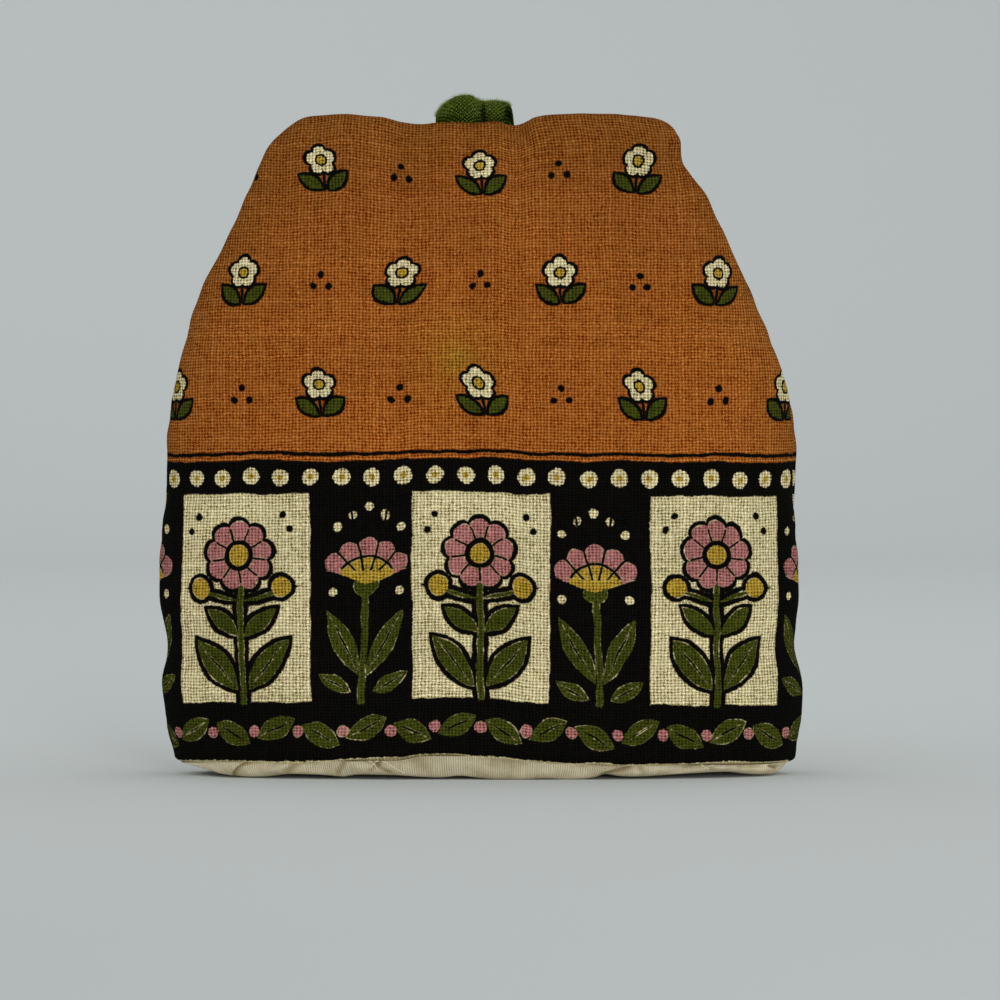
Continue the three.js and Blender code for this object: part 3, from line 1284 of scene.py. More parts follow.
class Field:
    """A number that varies over a surface, held as a node socket, with plain arithmetic."""

    def __init__(self, tree: bpy.types.NodeTree, socket: bpy.types.NodeSocket) -> None:
        """Holds a socket of a tree."""
        self.tree = tree
        self.socket = socket

    def math(self, operation: str, *operands: Operand) -> Field:
        """Adds one Math node.

        Args:
            operation: The node's operation.
            operands: Its inputs in order, fields or numbers.

        Returns:
            The node's result.
        """
        node = self.tree.nodes.new("ShaderNodeMath")
        node.operation = operation
        for slot, operand in zip(node.inputs, operands):
            if isinstance(operand, Field):
                self.tree.links.new(operand.socket, slot)
            else:
                slot.default_value = operand
        return Field(self.tree, node.outputs[0])

    def __add__(self, other: Operand) -> Field:
        """Sum."""
        return self.math("ADD", self, other)

    def __sub__(self, other: Operand) -> Field:
        """Difference."""
        return self.math("SUBTRACT", self, other)

    def __rsub__(self, other: Operand) -> Field:
        """Difference from a number on the left."""
        return self.math("SUBTRACT", other, self)

    def __mul__(self, other: Operand) -> Field:
        """Product."""
        return self.math("MULTIPLY", self, other)

    def __truediv__(self, other: Operand) -> Field:
        """Quotient."""
        return self.math("DIVIDE", self, other)

    def __pow__(self, other: Operand) -> Field:
        """Power."""
        return self.math("POWER", self, other)

    def __abs__(self) -> Field:
        """Size without the sign."""
        return self.math("ABSOLUTE", self)

    def __neg__(self) -> Field:
        """The field with its sign turned."""
        return self.math("MULTIPLY", self, -1.0)

    def floor(self) -> Field:
        """Whole part."""
        return self.math("FLOOR", self)

    def fract(self) -> Field:
        """Part past the whole number below."""
        return self.math("FRACT", self)

    def sin(self) -> Field:
        """Sine."""
        return self.math("SINE", self)

    def cos(self) -> Field:
        """Cosine."""
        return self.math("COSINE", self)

    def at_least(self, other: Operand) -> Field:
        """The larger of the two."""
        return self.math("MAXIMUM", self, other)

    def at_most(self, other: Operand) -> Field:
        """The smaller of the two."""
        return self.math("MINIMUM", self, other)

    def above(self, other: Operand) -> Field:
        """One where the field is larger, and zero elsewhere."""
        return self.math("GREATER_THAN", self, other)

    def ramp(self, low: float, high: float) -> Field:
        """Smooth step from 0 at one value to 1 at another.

        Args:
            low: Where the step starts.
            high: Where it ends, which may be the lower value.

        Returns:
            The step.
        """
        node = self.tree.nodes.new("ShaderNodeMapRange")
        node.interpolation_type = "SMOOTHSTEP"
        self.tree.links.new(self.socket, node.inputs["Value"])
        node.inputs["From Min"].default_value = low
        node.inputs["From Max"].default_value = high
        return Field(self.tree, node.outputs["Result"])

    def line(self, gain: float, base: float) -> Field:
        """The field times a gain, plus a base."""
        return self * gain + base

    def about_zero(self, width: float) -> Field:
        """A field about a half, moved to be about zero and stretched to a width."""
        return (self - 0.5) * width

    def blend(self, other: Field, mask: Field) -> Field:
        """This field where the mask is 0, the other where it is 1."""
        return self + (other - self) * mask


def length(x: Field, y: Field) -> Field:
    """Distance from the origin."""
    square = x * x + y * y
    return square.math("SQRT", square)


def noise(x: Field, y: Field, scale: float, detail: float = 2.0) -> tuple[Field, Field]:
    """Two smooth noises about 0.5 in flat coordinates.

    Args:
        x: First coordinate.
        y: Second coordinate.
        scale: Cells for each unit.
        detail: Octaves.

    Returns:
        Two noises that don't follow each other.
    """
    tree = x.tree
    place = tree.nodes.new("ShaderNodeCombineXYZ")
    tree.links.new(x.socket, place.inputs[0])
    tree.links.new(y.socket, place.inputs[1])
    texture = tree.nodes.new("ShaderNodeTexNoise")
    texture.noise_dimensions = "2D"
    tree.links.new(place.outputs[0], texture.inputs["Vector"])
    texture.inputs["Scale"].default_value = scale
    texture.inputs["Detail"].default_value = detail
    parts = tree.nodes.new("ShaderNodeSeparateColor")
    tree.links.new(texture.outputs["Color"], parts.inputs[0])
    return Field(tree, parts.outputs[0]), Field(tree, parts.outputs[1])


def chance(number: Field) -> Field:
    """A random value from 0 to 1 for each number.

    Args:
        number: The number, which stays the same over one thread or motif.

    Returns:
        The value, always the same for the same number.
    """
    node = number.tree.nodes.new("ShaderNodeTexWhiteNoise")
    node.noise_dimensions = "1D"
    number.tree.links.new(number.socket, node.inputs["W"])
    return Field(number.tree, node.outputs["Value"])


def flat_place(tree: bpy.types.NodeTree) -> tuple[Field, Field]:
    """The flat-cloth coordinates of the shaded point, in millimetres.

    Args:
        tree: A material's node tree.

    Returns:
        Place across from the middle, and up from the hem.
    """
    source = tree.nodes.new("ShaderNodeUVMap")
    source.uv_map = FlatCloth.UV_NAME
    parts = tree.nodes.new("ShaderNodeSeparateXYZ")
    tree.links.new(source.outputs[0], parts.inputs[0])
    across = (Field(tree, parts.outputs[0]) - FlatCloth.MIDDLE) * FlatCloth.SPAN
    return across, Field(tree, parts.outputs[1]) * FlatCloth.SPAN


def mark(tree: bpy.types.NodeTree, label: str) -> Field:
    """The value of a named mark at the shaded point.

    Args:
        tree: A material's node tree.
        label: The mark's name.

    Returns:
        The value.
    """
    source = tree.nodes.new("ShaderNodeAttribute")
    source.attribute_name = label
    return Field(tree, source.outputs["Fac"])


Paint = Union[bpy.types.NodeSocket, Colour]


class Laying(Enum):
    """How one colour is laid over another, valued with the Mix node's blending."""

    COVER = "MIX"
    TINT = "MULTIPLY"


class MixSocket:
    """Places of the Mix node's sockets for colours."""

    MASK = 0
    BELOW = 6
    OVER = 7
    RESULT = 2


def paint(
    tree: bpy.types.NodeTree, below: Paint, over: Paint, mask: Field, how: Laying = Laying.COVER
) -> bpy.types.NodeSocket:
    """Lays one colour over another.

    Args:
        tree: The tree to add to.
        below: The colour underneath.
        over: The colour laid on.
        mask: How much of it covers.
        how: Whether it covers the colour underneath or tints it.

    Returns:
        The mixed colour's socket.
    """
    node = tree.nodes.new("ShaderNodeMix")
    node.data_type = "RGBA"
    node.blend_type = how.value
    tree.links.new(mask.socket, node.inputs[MixSocket.MASK])
    for place, colour in ((MixSocket.BELOW, below), (MixSocket.OVER, over)):
        if isinstance(colour, tuple):
            node.inputs[place].default_value = (*colour, 1)
        else:
            tree.links.new(colour, node.inputs[place])
    return node.outputs[MixSocket.RESULT]


def shade(tree: bpy.types.NodeTree, colour: bpy.types.NodeSocket, light: Field) -> bpy.types.NodeSocket:
    """Multiplies a colour by a brightness.

    Args:
        tree: The tree to add to.
        colour: The colour's socket.
        light: The brightness.

    Returns:
        The product's socket.
    """
    node = tree.nodes.new("ShaderNodeVectorMath")
    node.operation = "SCALE"
    tree.links.new(colour, node.inputs[0])
    tree.links.new(light.socket, node.inputs["Scale"])
    return node.outputs[0]


# Weave


@dataclass(frozen=True)
class WeaveGroup:
    """Plain weave as a node group.

    Two sets of threads cross, drifting slowly and shaking a little from side to side. A thread's section is a
    round hump narrower than its pitch, thick and thin along its length, and a sine lifts it over every other
    thread of the other set. The higher thread shows, and where both are low there is a hole. By chance one
    hole is wide and deep and the next one nearly closed.
    """

    name: str = "plain_weave"
    drift: float = 0.6
    drift_scale: float = 0.09
    shake: float = 0.34
    shake_scale: float = 0.9
    slub: Line = (0.9, 0.55)
    slub_scale: float = 0.3
    warp_stride: float = 1.37
    weft_stride: float = 1.71
    roundness: float = 0.7
    crossing: Line = (0.3, 0.7)
    weft_luck: float = 977.0
    hole: Span = (0.82, 0.1)
    hole_stride: float = 613.0
    hole_spread: float = 0.5
    fleck: Span = (0.2, 0.6)
    fleck_light: Line = (0.5, 0.5)
    fleck_scale: float = 0.4

    def build(self) -> bpy.types.NodeTree:
        """Makes the group once.

        Returns:
            The group, with Across, Along, two pitches and Fill in, and Height, Gap and Tone out.
        """
        tree = bpy.data.node_groups.new(self.name, "ShaderNodeTree")
        for label in ("Across", "Along", "Warp Pitch", "Weft Pitch", "Fill"):
            tree.interface.new_socket(label, in_out="INPUT", socket_type="NodeSocketFloat")
        for label in ("Height", "Gap", "Tone"):
            tree.interface.new_socket(label, in_out="OUTPUT", socket_type="NodeSocketFloat")
        source = tree.nodes.new("NodeGroupInput")
        across, along, warp_pitch, weft_pitch, fill = (Field(tree, socket) for socket in source.outputs[:5])
        sway_a, sway_b = noise(across, along, self.drift_scale)
        shake_a, shake_b = noise(across, along, self.shake_scale, 0.0)
        fleck, _ = noise(along, across, self.fleck_scale)
        a = (across + sway_a.about_zero(self.drift)) / warp_pitch + shake_a.about_zero(self.shake)
        b = (along + sway_b.about_zero(self.drift)) / weft_pitch + shake_b.about_zero(self.shake)
        warp, weft = a.floor(), b.floor()
        hole = chance((a + 0.5).floor() * self.hole_stride + (b + 0.5).floor())
        slub_a, _ = noise(warp * self.warp_stride, along * self.slub_scale, 1.0)
        slub_b, _ = noise(weft * self.weft_stride, across * self.slub_scale, 1.0)

        def thread(place: Field, slub: Field, lift: Field) -> Field:
            """Height of a thread whose middle is at half of its pitch."""
            off = place.fract().about_zero(2.0) / (fill * slub.line(*self.slub))
            return (1.0 - off * off).at_least(0.0) ** self.roundness * lift.line(*self.crossing)

        high_a = thread(a, slub_a, ((b + warp) * math.pi).sin())
        high_b = thread(b, slub_b, -((a + weft) * math.pi).sin())
        top = high_a.at_least(high_b)
        gap = (top - hole.about_zero(self.hole_spread)).ramp(*self.hole)
        gap = gap * fleck.ramp(*self.fleck).line(*self.fleck_light)
        tone_a = (chance(warp) + slub_a) * 0.5
        tone_b = (chance(weft + self.weft_luck) + slub_b) * 0.5
        tone = tone_b.blend(tone_a, high_a.above(high_b))
        outputs = tree.nodes.new("NodeGroupOutput")
        for label, result in (("Height", top), ("Gap", gap), ("Tone", tone)):
            tree.links.new(result.socket, outputs.inputs[label])
        return tree


@dataclass(frozen=True)
class Weave:
    """A use of the weave group: the pitches of its two sets of threads, and how much a thread fills."""

    warp_pitch: float
    weft_pitch: float
    fill: float

    def place(
        self, tree: bpy.types.NodeTree, group: bpy.types.NodeTree, across: Field, along: Field
    ) -> tuple[Field, Field, Field]:
        """Adds the group to a material.

        Args:
            tree: The material's tree.
            group: The weave group.
            across: Place across the cloth.
            along: Place along the cloth.

        Returns:
            Thread height, gap mask and thread tone.
        """
        node = tree.nodes.new("ShaderNodeGroup")
        node.node_tree = group
        tree.links.new(across.socket, node.inputs["Across"])
        tree.links.new(along.socket, node.inputs["Along"])
        node.inputs["Warp Pitch"].default_value = self.warp_pitch
        node.inputs["Weft Pitch"].default_value = self.weft_pitch
        node.inputs["Fill"].default_value = self.fill
        return tuple(Field(tree, node.outputs[label]) for label in ("Height", "Gap", "Tone"))


# Print


class Ink(Enum):
    """Printing inks and the bare cloth, as linear colours."""

    CLOTH = (0.695, 0.588, 0.316)
    RUST = (0.36, 0.106, 0.0143)
    BLACK = (0.0032, 0.0028, 0.0018)
    GREEN = (0.051, 0.0595, 0.0055)
    PINK = (0.415, 0.157, 0.142)
    MUSTARD = (0.44, 0.275, 0.03)


Shapes = dict[Ink, Field]
VEIN_HALF_WIDTH = 0.2
PETAL_ROUNDNESS = 0.6


class LeafRow(NamedTuple):
    """A pointed leaf of the print: its middle, its lean over the level in degrees, and its half-sizes."""

    across: float
    up: float
    lean_deg: float
    half_length: float
    half_width: float

    def vein(self, half_length: float) -> LeafRow:
        """The leaf's middle vein, drawn as a very narrow leaf."""
        return self._replace(half_length=half_length, half_width=VEIN_HALF_WIDTH)


class StemRow(NamedTuple):
    """An upright stem of the print: its half-width, and the heights of its ends."""

    half_width: float
    foot: float
    top: float


class DotRow(NamedTuple):
    """A round dot of the print: its middle and its radius."""

    across: float
    up: float
    radius: float


def nearest(first: Field, *others: Field) -> Field:
    """Distance outside several shapes together, which is the least of theirs."""
    return reduce(Field.at_most, others, first)


def disc(x: Field, y: Field, radius: float) -> Field:
    """Distance outside a disc about the origin."""
    return length(x, y) - radius


def dots(x: Field, y: Field, *rows: DotRow) -> Field:
    """Distance outside several dots together."""
    return nearest(*(disc(x - row.across, y - row.up, row.radius) for row in rows))


def strip(y: Field, low: float, high: float) -> Field:
    """Distance outside a band between two heights."""
    return abs(y - (low + high) / 2) - (high - low) / 2


def bearing(x: Field, y: Field) -> Field:
    """Angle from upright, in radians."""
    return y.math("ARCTAN2", x, y)


def petals(x: Field, y: Field, radius: float, count: int, notch: float) -> Field:
    """Distance outside a round flower: its radius falls by the notch between one petal and the next.

    Args:
        x: Place across from the flower's middle.
        y: Place up from the flower's middle.
        radius: Radius at the petals' tips.
        count: How many petals there are, one of them upright.
        notch: Depth between petals.

    Returns:
        The distance, negative inside.
    """
    round_tip = abs((bearing(x, y) * (count / 2)).cos()) ** PETAL_ROUNDNESS
    return length(x, y) - round_tip * notch - (radius - notch)


def leaf(x: Field, y: Field, row: LeafRow) -> Field:
    """Distance outside a pointed leaf: its width falls from the middle by the square of the length.

    Args:
        x: Place across.
        y: Place up.
        row: The leaf's place and sizes.

    Returns:
        The distance, negative inside.
    """
    c, s = math.cos(math.radians(row.lean_deg)), math.sin(math.radians(row.lean_deg))
    dx, dy = x - row.across, y - row.up
    along = (dx * c + dy * s) / row.half_length
    return abs(dy * c - dx * s) + along * along * row.half_width - row.half_width


def leaves(x: Field, y: Field, *rows: LeafRow) -> Field:
    """Distance outside several leaves together."""
    return nearest(*(leaf(x, y, row) for row in rows))


def stem(side: Field, y: Field, row: StemRow) -> Field:
    """Distance outside an upright stem, from the distance to its middle line."""
    return (side - row.half_width).at_least(strip(y, row.foot, row.top))


@dataclass(frozen=True)
class Garland:
    """Leaves along a line that lean up and down in turn, with a berry between each two."""

    pitch: float = 7.1
    blade: LeafRow = LeafRow(0.0, 0.4, 27, 3.3, 1.65)
    vein_half: float = 2.4
    berry_radius: float = 0.85
    stray: float = 0.5
    stray_luck: float = 31.0

    def draw(self, x: Field, y: Field) -> Shapes:
        """Works out the garland.

        Args:
            x: Place across the flat cloth.
            y: Place up from the garland's line.

        Returns:
            The inks' shapes.
        """
        number = (x / self.pitch).floor()
        local = x - (number + 0.5) * self.pitch
        flip = (number * 0.5).fract() * 4.0 - 1.0
        rise = y * flip + chance(number + self.stray_luck).about_zero(self.stray)
        blade = leaf(local, rise, self.blade)
        vein = leaf(local, rise, self.blade.vein(self.vein_half))
        berry = disc(abs(local) - self.pitch / 2, y, self.berry_radius)
        return {Ink.GREEN: blade.at_least(-vein), Ink.PINK: berry}


@dataclass(frozen=True)
class RosePlant:
    """A round flower on a stem with two pairs of leaves and two buds, beside small dots."""

    stem: StemRow = StemRow(0.45, -1.0, 19.0)
    big_leaf: LeafRow = LeafRow(4.1, 5.8, 50, 5.0, 1.9)
    vein_half: float = 3.6
    small_leaf: LeafRow = LeafRow(3.0, 12.4, 38, 3.2, 1.25)
    stalk: LeafRow = LeafRow(3.4, 16.3, 14, 3.2, 0.3)
    bud: DotRow = DotRow(6.5, 17.6, 1.5)
    specks: tuple[DotRow, ...] = (DotRow(8.2, 26.4, 0.55), DotRow(7.0, 28.6, 0.55))
    bloom_up: float = 22.6
    bloom_radius: float = 5.3
    petal_count: int = 9
    notch: float = 0.95
    line_half: float = 0.22
    line_from: float = 1.9
    line_to: float = 4.4
    pink_from: float = 2.0
    ring_radius: float = 1.95
    ring_half: float = 0.45
    eye_radius: float = 1.5

    def draw(self, x: Field, y: Field) -> tuple[Shapes, Field, Field]:
        """Works out the plant.

        Args:
            x: Place across from the stem.
            y: Place up from the frieze's foot.

        Returns:
            The inks' shapes, the whole plant for its outline, and the dark lines inside.
        """
        side = abs(x)
        green = leaves(side, y, self.big_leaf, self.small_leaf, self.stalk)
        green = nearest(stem(side, y, self.stem), green)
        bud = dots(side, y, self.bud)
        up = y - self.bloom_up
        out = length(x, up)
        bloom = petals(x, up, self.bloom_radius, self.petal_count, self.notch)
        half_count = self.petal_count / 2
        ray = (bearing(x, up) * half_count).cos()
        lines = (abs(ray) * out / half_count - self.line_half).at_least(out - self.line_to)
        dark = nearest(
            lines.at_least(self.line_from - out),
            abs(out - self.ring_radius) - self.ring_half,
            leaf(side, y, self.big_leaf.vein(self.vein_half)),
            dots(side, y, *self.specks),
        )
        shapes = {
            Ink.GREEN: green,
            Ink.PINK: bloom.at_least(self.pink_from - out),
            Ink.MUSTARD: nearest(out - self.eye_radius, bud),
        }
        return shapes, nearest(green, bud, bloom), dark


@dataclass(frozen=True)
class FanPlant:
    """A fan-shaped flower of five petals on a stem with long leaves, beside small dots."""

    stem: StemRow = StemRow(0.5, -1.0, 17.6)
    blade: LeafRow = LeafRow(3.3, 8.8, 62, 5.6, 1.6)
    blade_vein_half: float = 4.2
    low_blade: LeafRow = LeafRow(4.2, 2.6, 28, 2.9, 1.2)
    low_vein_half: float = 2.1
    specks: tuple[DotRow, ...] = (
        DotRow(5.2, 16.6, 0.6),
        DotRow(0.0, 29.8, 0.7),
        DotRow(2.6, 28.6, 0.6),
        DotRow(5.0, 26.6, 0.6),
    )
    bloom_up: float = 17.8
    bloom_radius: float = 6.4
    petal_count: int = 5
    petal_angle: float = 0.5
    tip: float = 0.9
    line_half: float = 0.24
    line_from: float = 2.0
    arc_radius: float = 4.4
    arc_half: float = 0.26
    calyx_radius: float = 1.9
    calyx_squash: float = 1.1

    def draw(self, x: Field, y: Field) -> tuple[Shapes, Field]:
        """Works out the plant.

        Args:
            x: Place across from the stem.
            y: Place up from the frieze's foot.

        Returns:
            The inks' shapes, and the dark lines inside.
        """
        side = abs(x)
        veins = (self.blade.vein(self.blade_vein_half), self.low_blade.vein(self.low_vein_half))
        up = y - self.bloom_up
        out = length(x, up)
        turn = bearing(x, up)
        beat = math.pi / self.petal_angle
        edge = out - abs((turn * beat).cos()) * self.tip - self.bloom_radius
        fan = edge.at_least((abs(turn) - self.petal_angle * self.petal_count / 2) * out)
        between = abs((turn * beat + QUARTER_TURN).sin()) * out / beat - self.line_half
        arc = abs(out - self.arc_radius) - self.arc_half
        calyx = disc(x, up * self.calyx_squash, self.calyx_radius)
        blades = leaves(side, y, self.blade, self.low_blade)
        shapes = {
            Ink.MUSTARD: fan.at_least(out - self.arc_radius),
            Ink.PINK: fan.at_least(self.arc_radius - out),
            Ink.GREEN: nearest(stem(side, y, self.stem), calyx, blades),
            Ink.CLOTH: dots(side, y, *self.specks),
        }
        lines = nearest(between, arc).at_least(-calyx).at_least(self.line_from - up)
        return shapes, nearest(lines, leaves(side, y, *veins))


@dataclass(frozen=True)
class Sprigs:
    """Small five-petalled flowers with two leaves, each row moved along by half, and three dots between."""

    pitch_across: float = 25.0
    pitch_up: float = 17.5
    lean: float = 0.5
    lean_luck: tuple[float, float, float] = (7.0, 3.0, 0.5)
    bloom_up: float = 1.3
    bloom_radius: float = 2.3
    petal_count: int = 5
    notch: float = 0.75
    cloth_from: float = 1.05
    eye_radius: float = 0.65
    blade: LeafRow = LeafRow(2.1, -2.1, 40, 2.0, 0.85)
    stem: StemRow = StemRow(0.25, -3.6, 0.0)
    specks: tuple[DotRow, ...] = (DotRow(0.0, 1.0, 0.55), DotRow(1.2, -0.9, 0.55))
    outline: float = 0.6

    def draw(self, x: Field, y: Field) -> tuple[Shapes, Field]:
        """Works out the sprigs.

        Args:
            x: Place across the flat cloth.
            y: Place up from the ground's foot.

        Returns:
            The inks' shapes, and the dark shapes that outline and part them.
        """
        row = (y / self.pitch_up).floor()
        shift = (row * 0.5).fract() * self.pitch_across
        number = ((x + shift) / self.pitch_across + 0.5).floor()
        by_number, by_row, start = self.lean_luck
        luck = chance(number * by_number + row * by_row + start)
        up = y - (row + 0.5) * self.pitch_up
        local = x + shift - number * self.pitch_across
        leaning = local + luck.about_zero(self.lean) * up
        side = abs(leaning)
        over = up - self.bloom_up
        bloom = petals(leaning, over, self.bloom_radius, self.petal_count, self.notch)
        blade = leaf(side, up, self.blade)
        between = abs(abs(local) - self.pitch_across / 2)
        speckled = nearest(stem(side, up, self.stem), dots(between, up, *self.specks))
        shapes = {
            Ink.CLOTH: bloom.at_least(self.cloth_from - length(leaning, over)),
            Ink.MUSTARD: disc(leaning, over, self.eye_radius),
            Ink.GREEN: blade,
        }
        return shapes, nearest(nearest(bloom, blade) - self.outline, speckled)


@dataclass(frozen=True)
class BorderPrint:
    """A folk border in flat-cloth millimetres, made of plain repeats.

    A leaf garland runs along the hem. Over it a frieze of panels, cream and black in turn, holds one flower
    each. A beaded band closes the frieze, and small sprigs in a half-drop repeat cover the ground above. Each
    repeat leans and shifts a little, as if drawn by hand.
    """

    garland: Garland = Garland()
    rose: RosePlant = RosePlant()
    fan: FanPlant = FanPlant()
    sprigs: Sprigs = Sprigs()
    hem_line: float = 1.05
    thread: float = 0.543
    fraying: float = 0.3
    corner: Span = (50.6, 51.8)
    corner_drop: float = 1.5
    garland_top: float = 10.2
    frieze_top: float = 42.2
    overlap: float = 0.4
    cell: float = 18.6
    cream_half: float = 10.7
    lean: float = 0.09
    lean_luck: float = 5.0
    growth: float = 1.4
    growth_luck: float = 11.0
    outline: float = 0.8
    bead_top: float = 47.4
    bead_pitch: float = 4.8
    bead_radius: float = 1.3
    bead_rim: float = 0.85
    line: Span = (0.75, 1.3)
    rust_overlap: float = 0.3
    sprig_low: float = 1.5
    softness: float = 0.09

    def hem(self, across: Field) -> Field:
        """Height of the print's lower edge: a level line, frayed thread by thread, which drops at one corner.

        Args:
            across: Place across the flat cloth.

        Returns:
            The height over the cloth's edge.
        """
        frayed = chance((across / self.thread).floor()).about_zero(self.fraying) + self.hem_line
        return frayed - across.ramp(*self.corner) * self.corner_drop

    def ink_areas(self, across: Field, up: Field, slip: Field) -> list[tuple[Ink, Field]]:
        """Each ink's area as a distance, in the order in which the inks are laid on.

        Args:
            across: Place across the flat cloth.
            up: Place up from the hem.
            slip: How far the black falls short of the other inks, which bares the cloth between them.

        Returns:
            Pairs of an ink and the distance outside its area.
        """
        foot = self.garland_top
        pair = (across / (2 * self.cell) + 0.5).floor()
        from_cream = across - pair * (2 * self.cell)
        in_black = abs(from_cream).above(self.cream_half)
        number = pair * 2.0 + in_black * (from_cream.above(0.0) * 2.0 - 1.0)
        rise = up - foot
        local = across - number * self.cell + chance(number + self.lean_luck).about_zero(self.lean) * rise
        grown = rise - chance(number + self.growth_luck).about_zero(self.growth)
        frieze = strip(up, foot - self.overlap, self.frieze_top + self.overlap)
        cream_cell = frieze.at_least(abs(from_cream) - self.cream_half)
        black_cell = frieze.at_least(self.cream_half - abs(from_cream))
        ground = self.bead_top + self.sprig_low - up
        garland = self.garland.draw(across, up - (self.hem_line + foot) / 2)
        rose, rose_whole, rose_dark = self.rose.draw(local, grown)
        fan, fan_dark = self.fan.draw(local, grown)
        sprig, sprig_dark = self.sprigs.draw(across, up - self.bead_top - self.sprig_low)
        bead_step = (across / self.bead_pitch).fract() * self.bead_pitch - self.bead_pitch / 2
        beads = disc(bead_step, up - (self.frieze_top + self.bead_top) / 2, self.bead_radius)
        rose_line = (rose_whole - self.outline).at_least(slip - nearest(*rose.values()))
        black = nearest(
            rise.at_least(self.hem(across) - up).at_least(slip - nearest(*garland.values())),
            strip(up, self.frieze_top, self.bead_top),
            black_cell.at_least(slip - nearest(*fan.values())),
            fan_dark.at_least(black_cell),
            cream_cell.at_least(nearest(rose_line, rose_dark)),
            strip(up, self.bead_top + self.line[0], self.bead_top + self.line[1]),
            ground.at_least(sprig_dark),
        )
        kept = (
            {Ink.CLOTH: beads, Ink.MUSTARD: beads + self.bead_rim},
            {ink: shape.at_least(rise) for ink, shape in garland.items()},
            {ink: shape.at_least(cream_cell).at_least(-rose_dark) for ink, shape in rose.items()},
            {ink: shape.at_least(black_cell).at_least(-fan_dark) for ink, shape in fan.items()},
            {ink: shape.at_least(ground) for ink, shape in sprig.items()},
        )
        areas = [(Ink.RUST, self.bead_top - self.rust_overlap - up), (Ink.BLACK, black)]
        for ink in (Ink.CLOTH, Ink.GREEN, Ink.PINK, Ink.MUSTARD):
            areas.append((ink, nearest(*(shapes[ink] for shapes in kept if ink in shapes))))
        return areas

    def paint(
        self, tree: bpy.types.NodeTree, place: tuple[Field, Field], bleed: Field, slip: Field, ground: Paint
    ) -> bpy.types.NodeSocket:
        """Lays the inks on the bare cloth in order.

        Args:
            tree: The tree to add to.
            place: Place across the flat cloth and up from the hem, with the hand's wobble.
            bleed: Distance by which the ink falls short at each thread.
            slip: How far the black falls short of the other inks.
            ground: The rust ground's colour, with its painted shade towards the top, its darkening near the
                seams as worn dye and painted shade, the weave's painted shade and highlight, and its stain.

        Returns:
            The printed colour's socket.
        """
        colour: Paint = Ink.CLOTH.value
        for ink, distance in self.ink_areas(*place, slip):
            cover = (distance + bleed).ramp(self.softness, -self.softness)
            colour = paint(tree, colour, ground if ink is Ink.RUST else ink.value, cover)
        return colour


# Finishes


def new_material(
    name: str, roughness: float, specular: float
) -> tuple[bpy.types.Material, bpy.types.NodeTree, bpy.types.Node]:
    """Makes a material with only its shader and output.

    Args:
        name: The material's name.
        roughness: The shader's roughness.
        specular: The shader's specular level.

    Returns:
        The material, its tree and its shader.
    """
    material = bpy.data.materials.new(name)
    material.use_nodes = True
    tree = material.node_tree
    shader = tree.nodes["Principled BSDF"]
    shader.inputs["Roughness"].default_value = roughness
    shader.inputs["Specular IOR Level"].default_value = specular
    return material, tree, shader


def raise_threads(
    tree: bpy.types.NodeTree, shader: bpy.types.Node, height: Field, distance_mm: float
) -> None:
    """Feeds a height to the shader's normal through a Bump node.

    Args:
        tree: The material's tree.
        shader: The material's shader.
        height: Height from 0 to 1.
        distance_mm: The real height that 1 stands for.
    """
    bump = tree.nodes.new("ShaderNodeBump")
    bump.inputs["Distance"].default_value = distance_mm * MM
    tree.links.new(height.socket, bump.inputs["Height"])
    tree.links.new(bump.outputs[0], shader.inputs["Normal"])


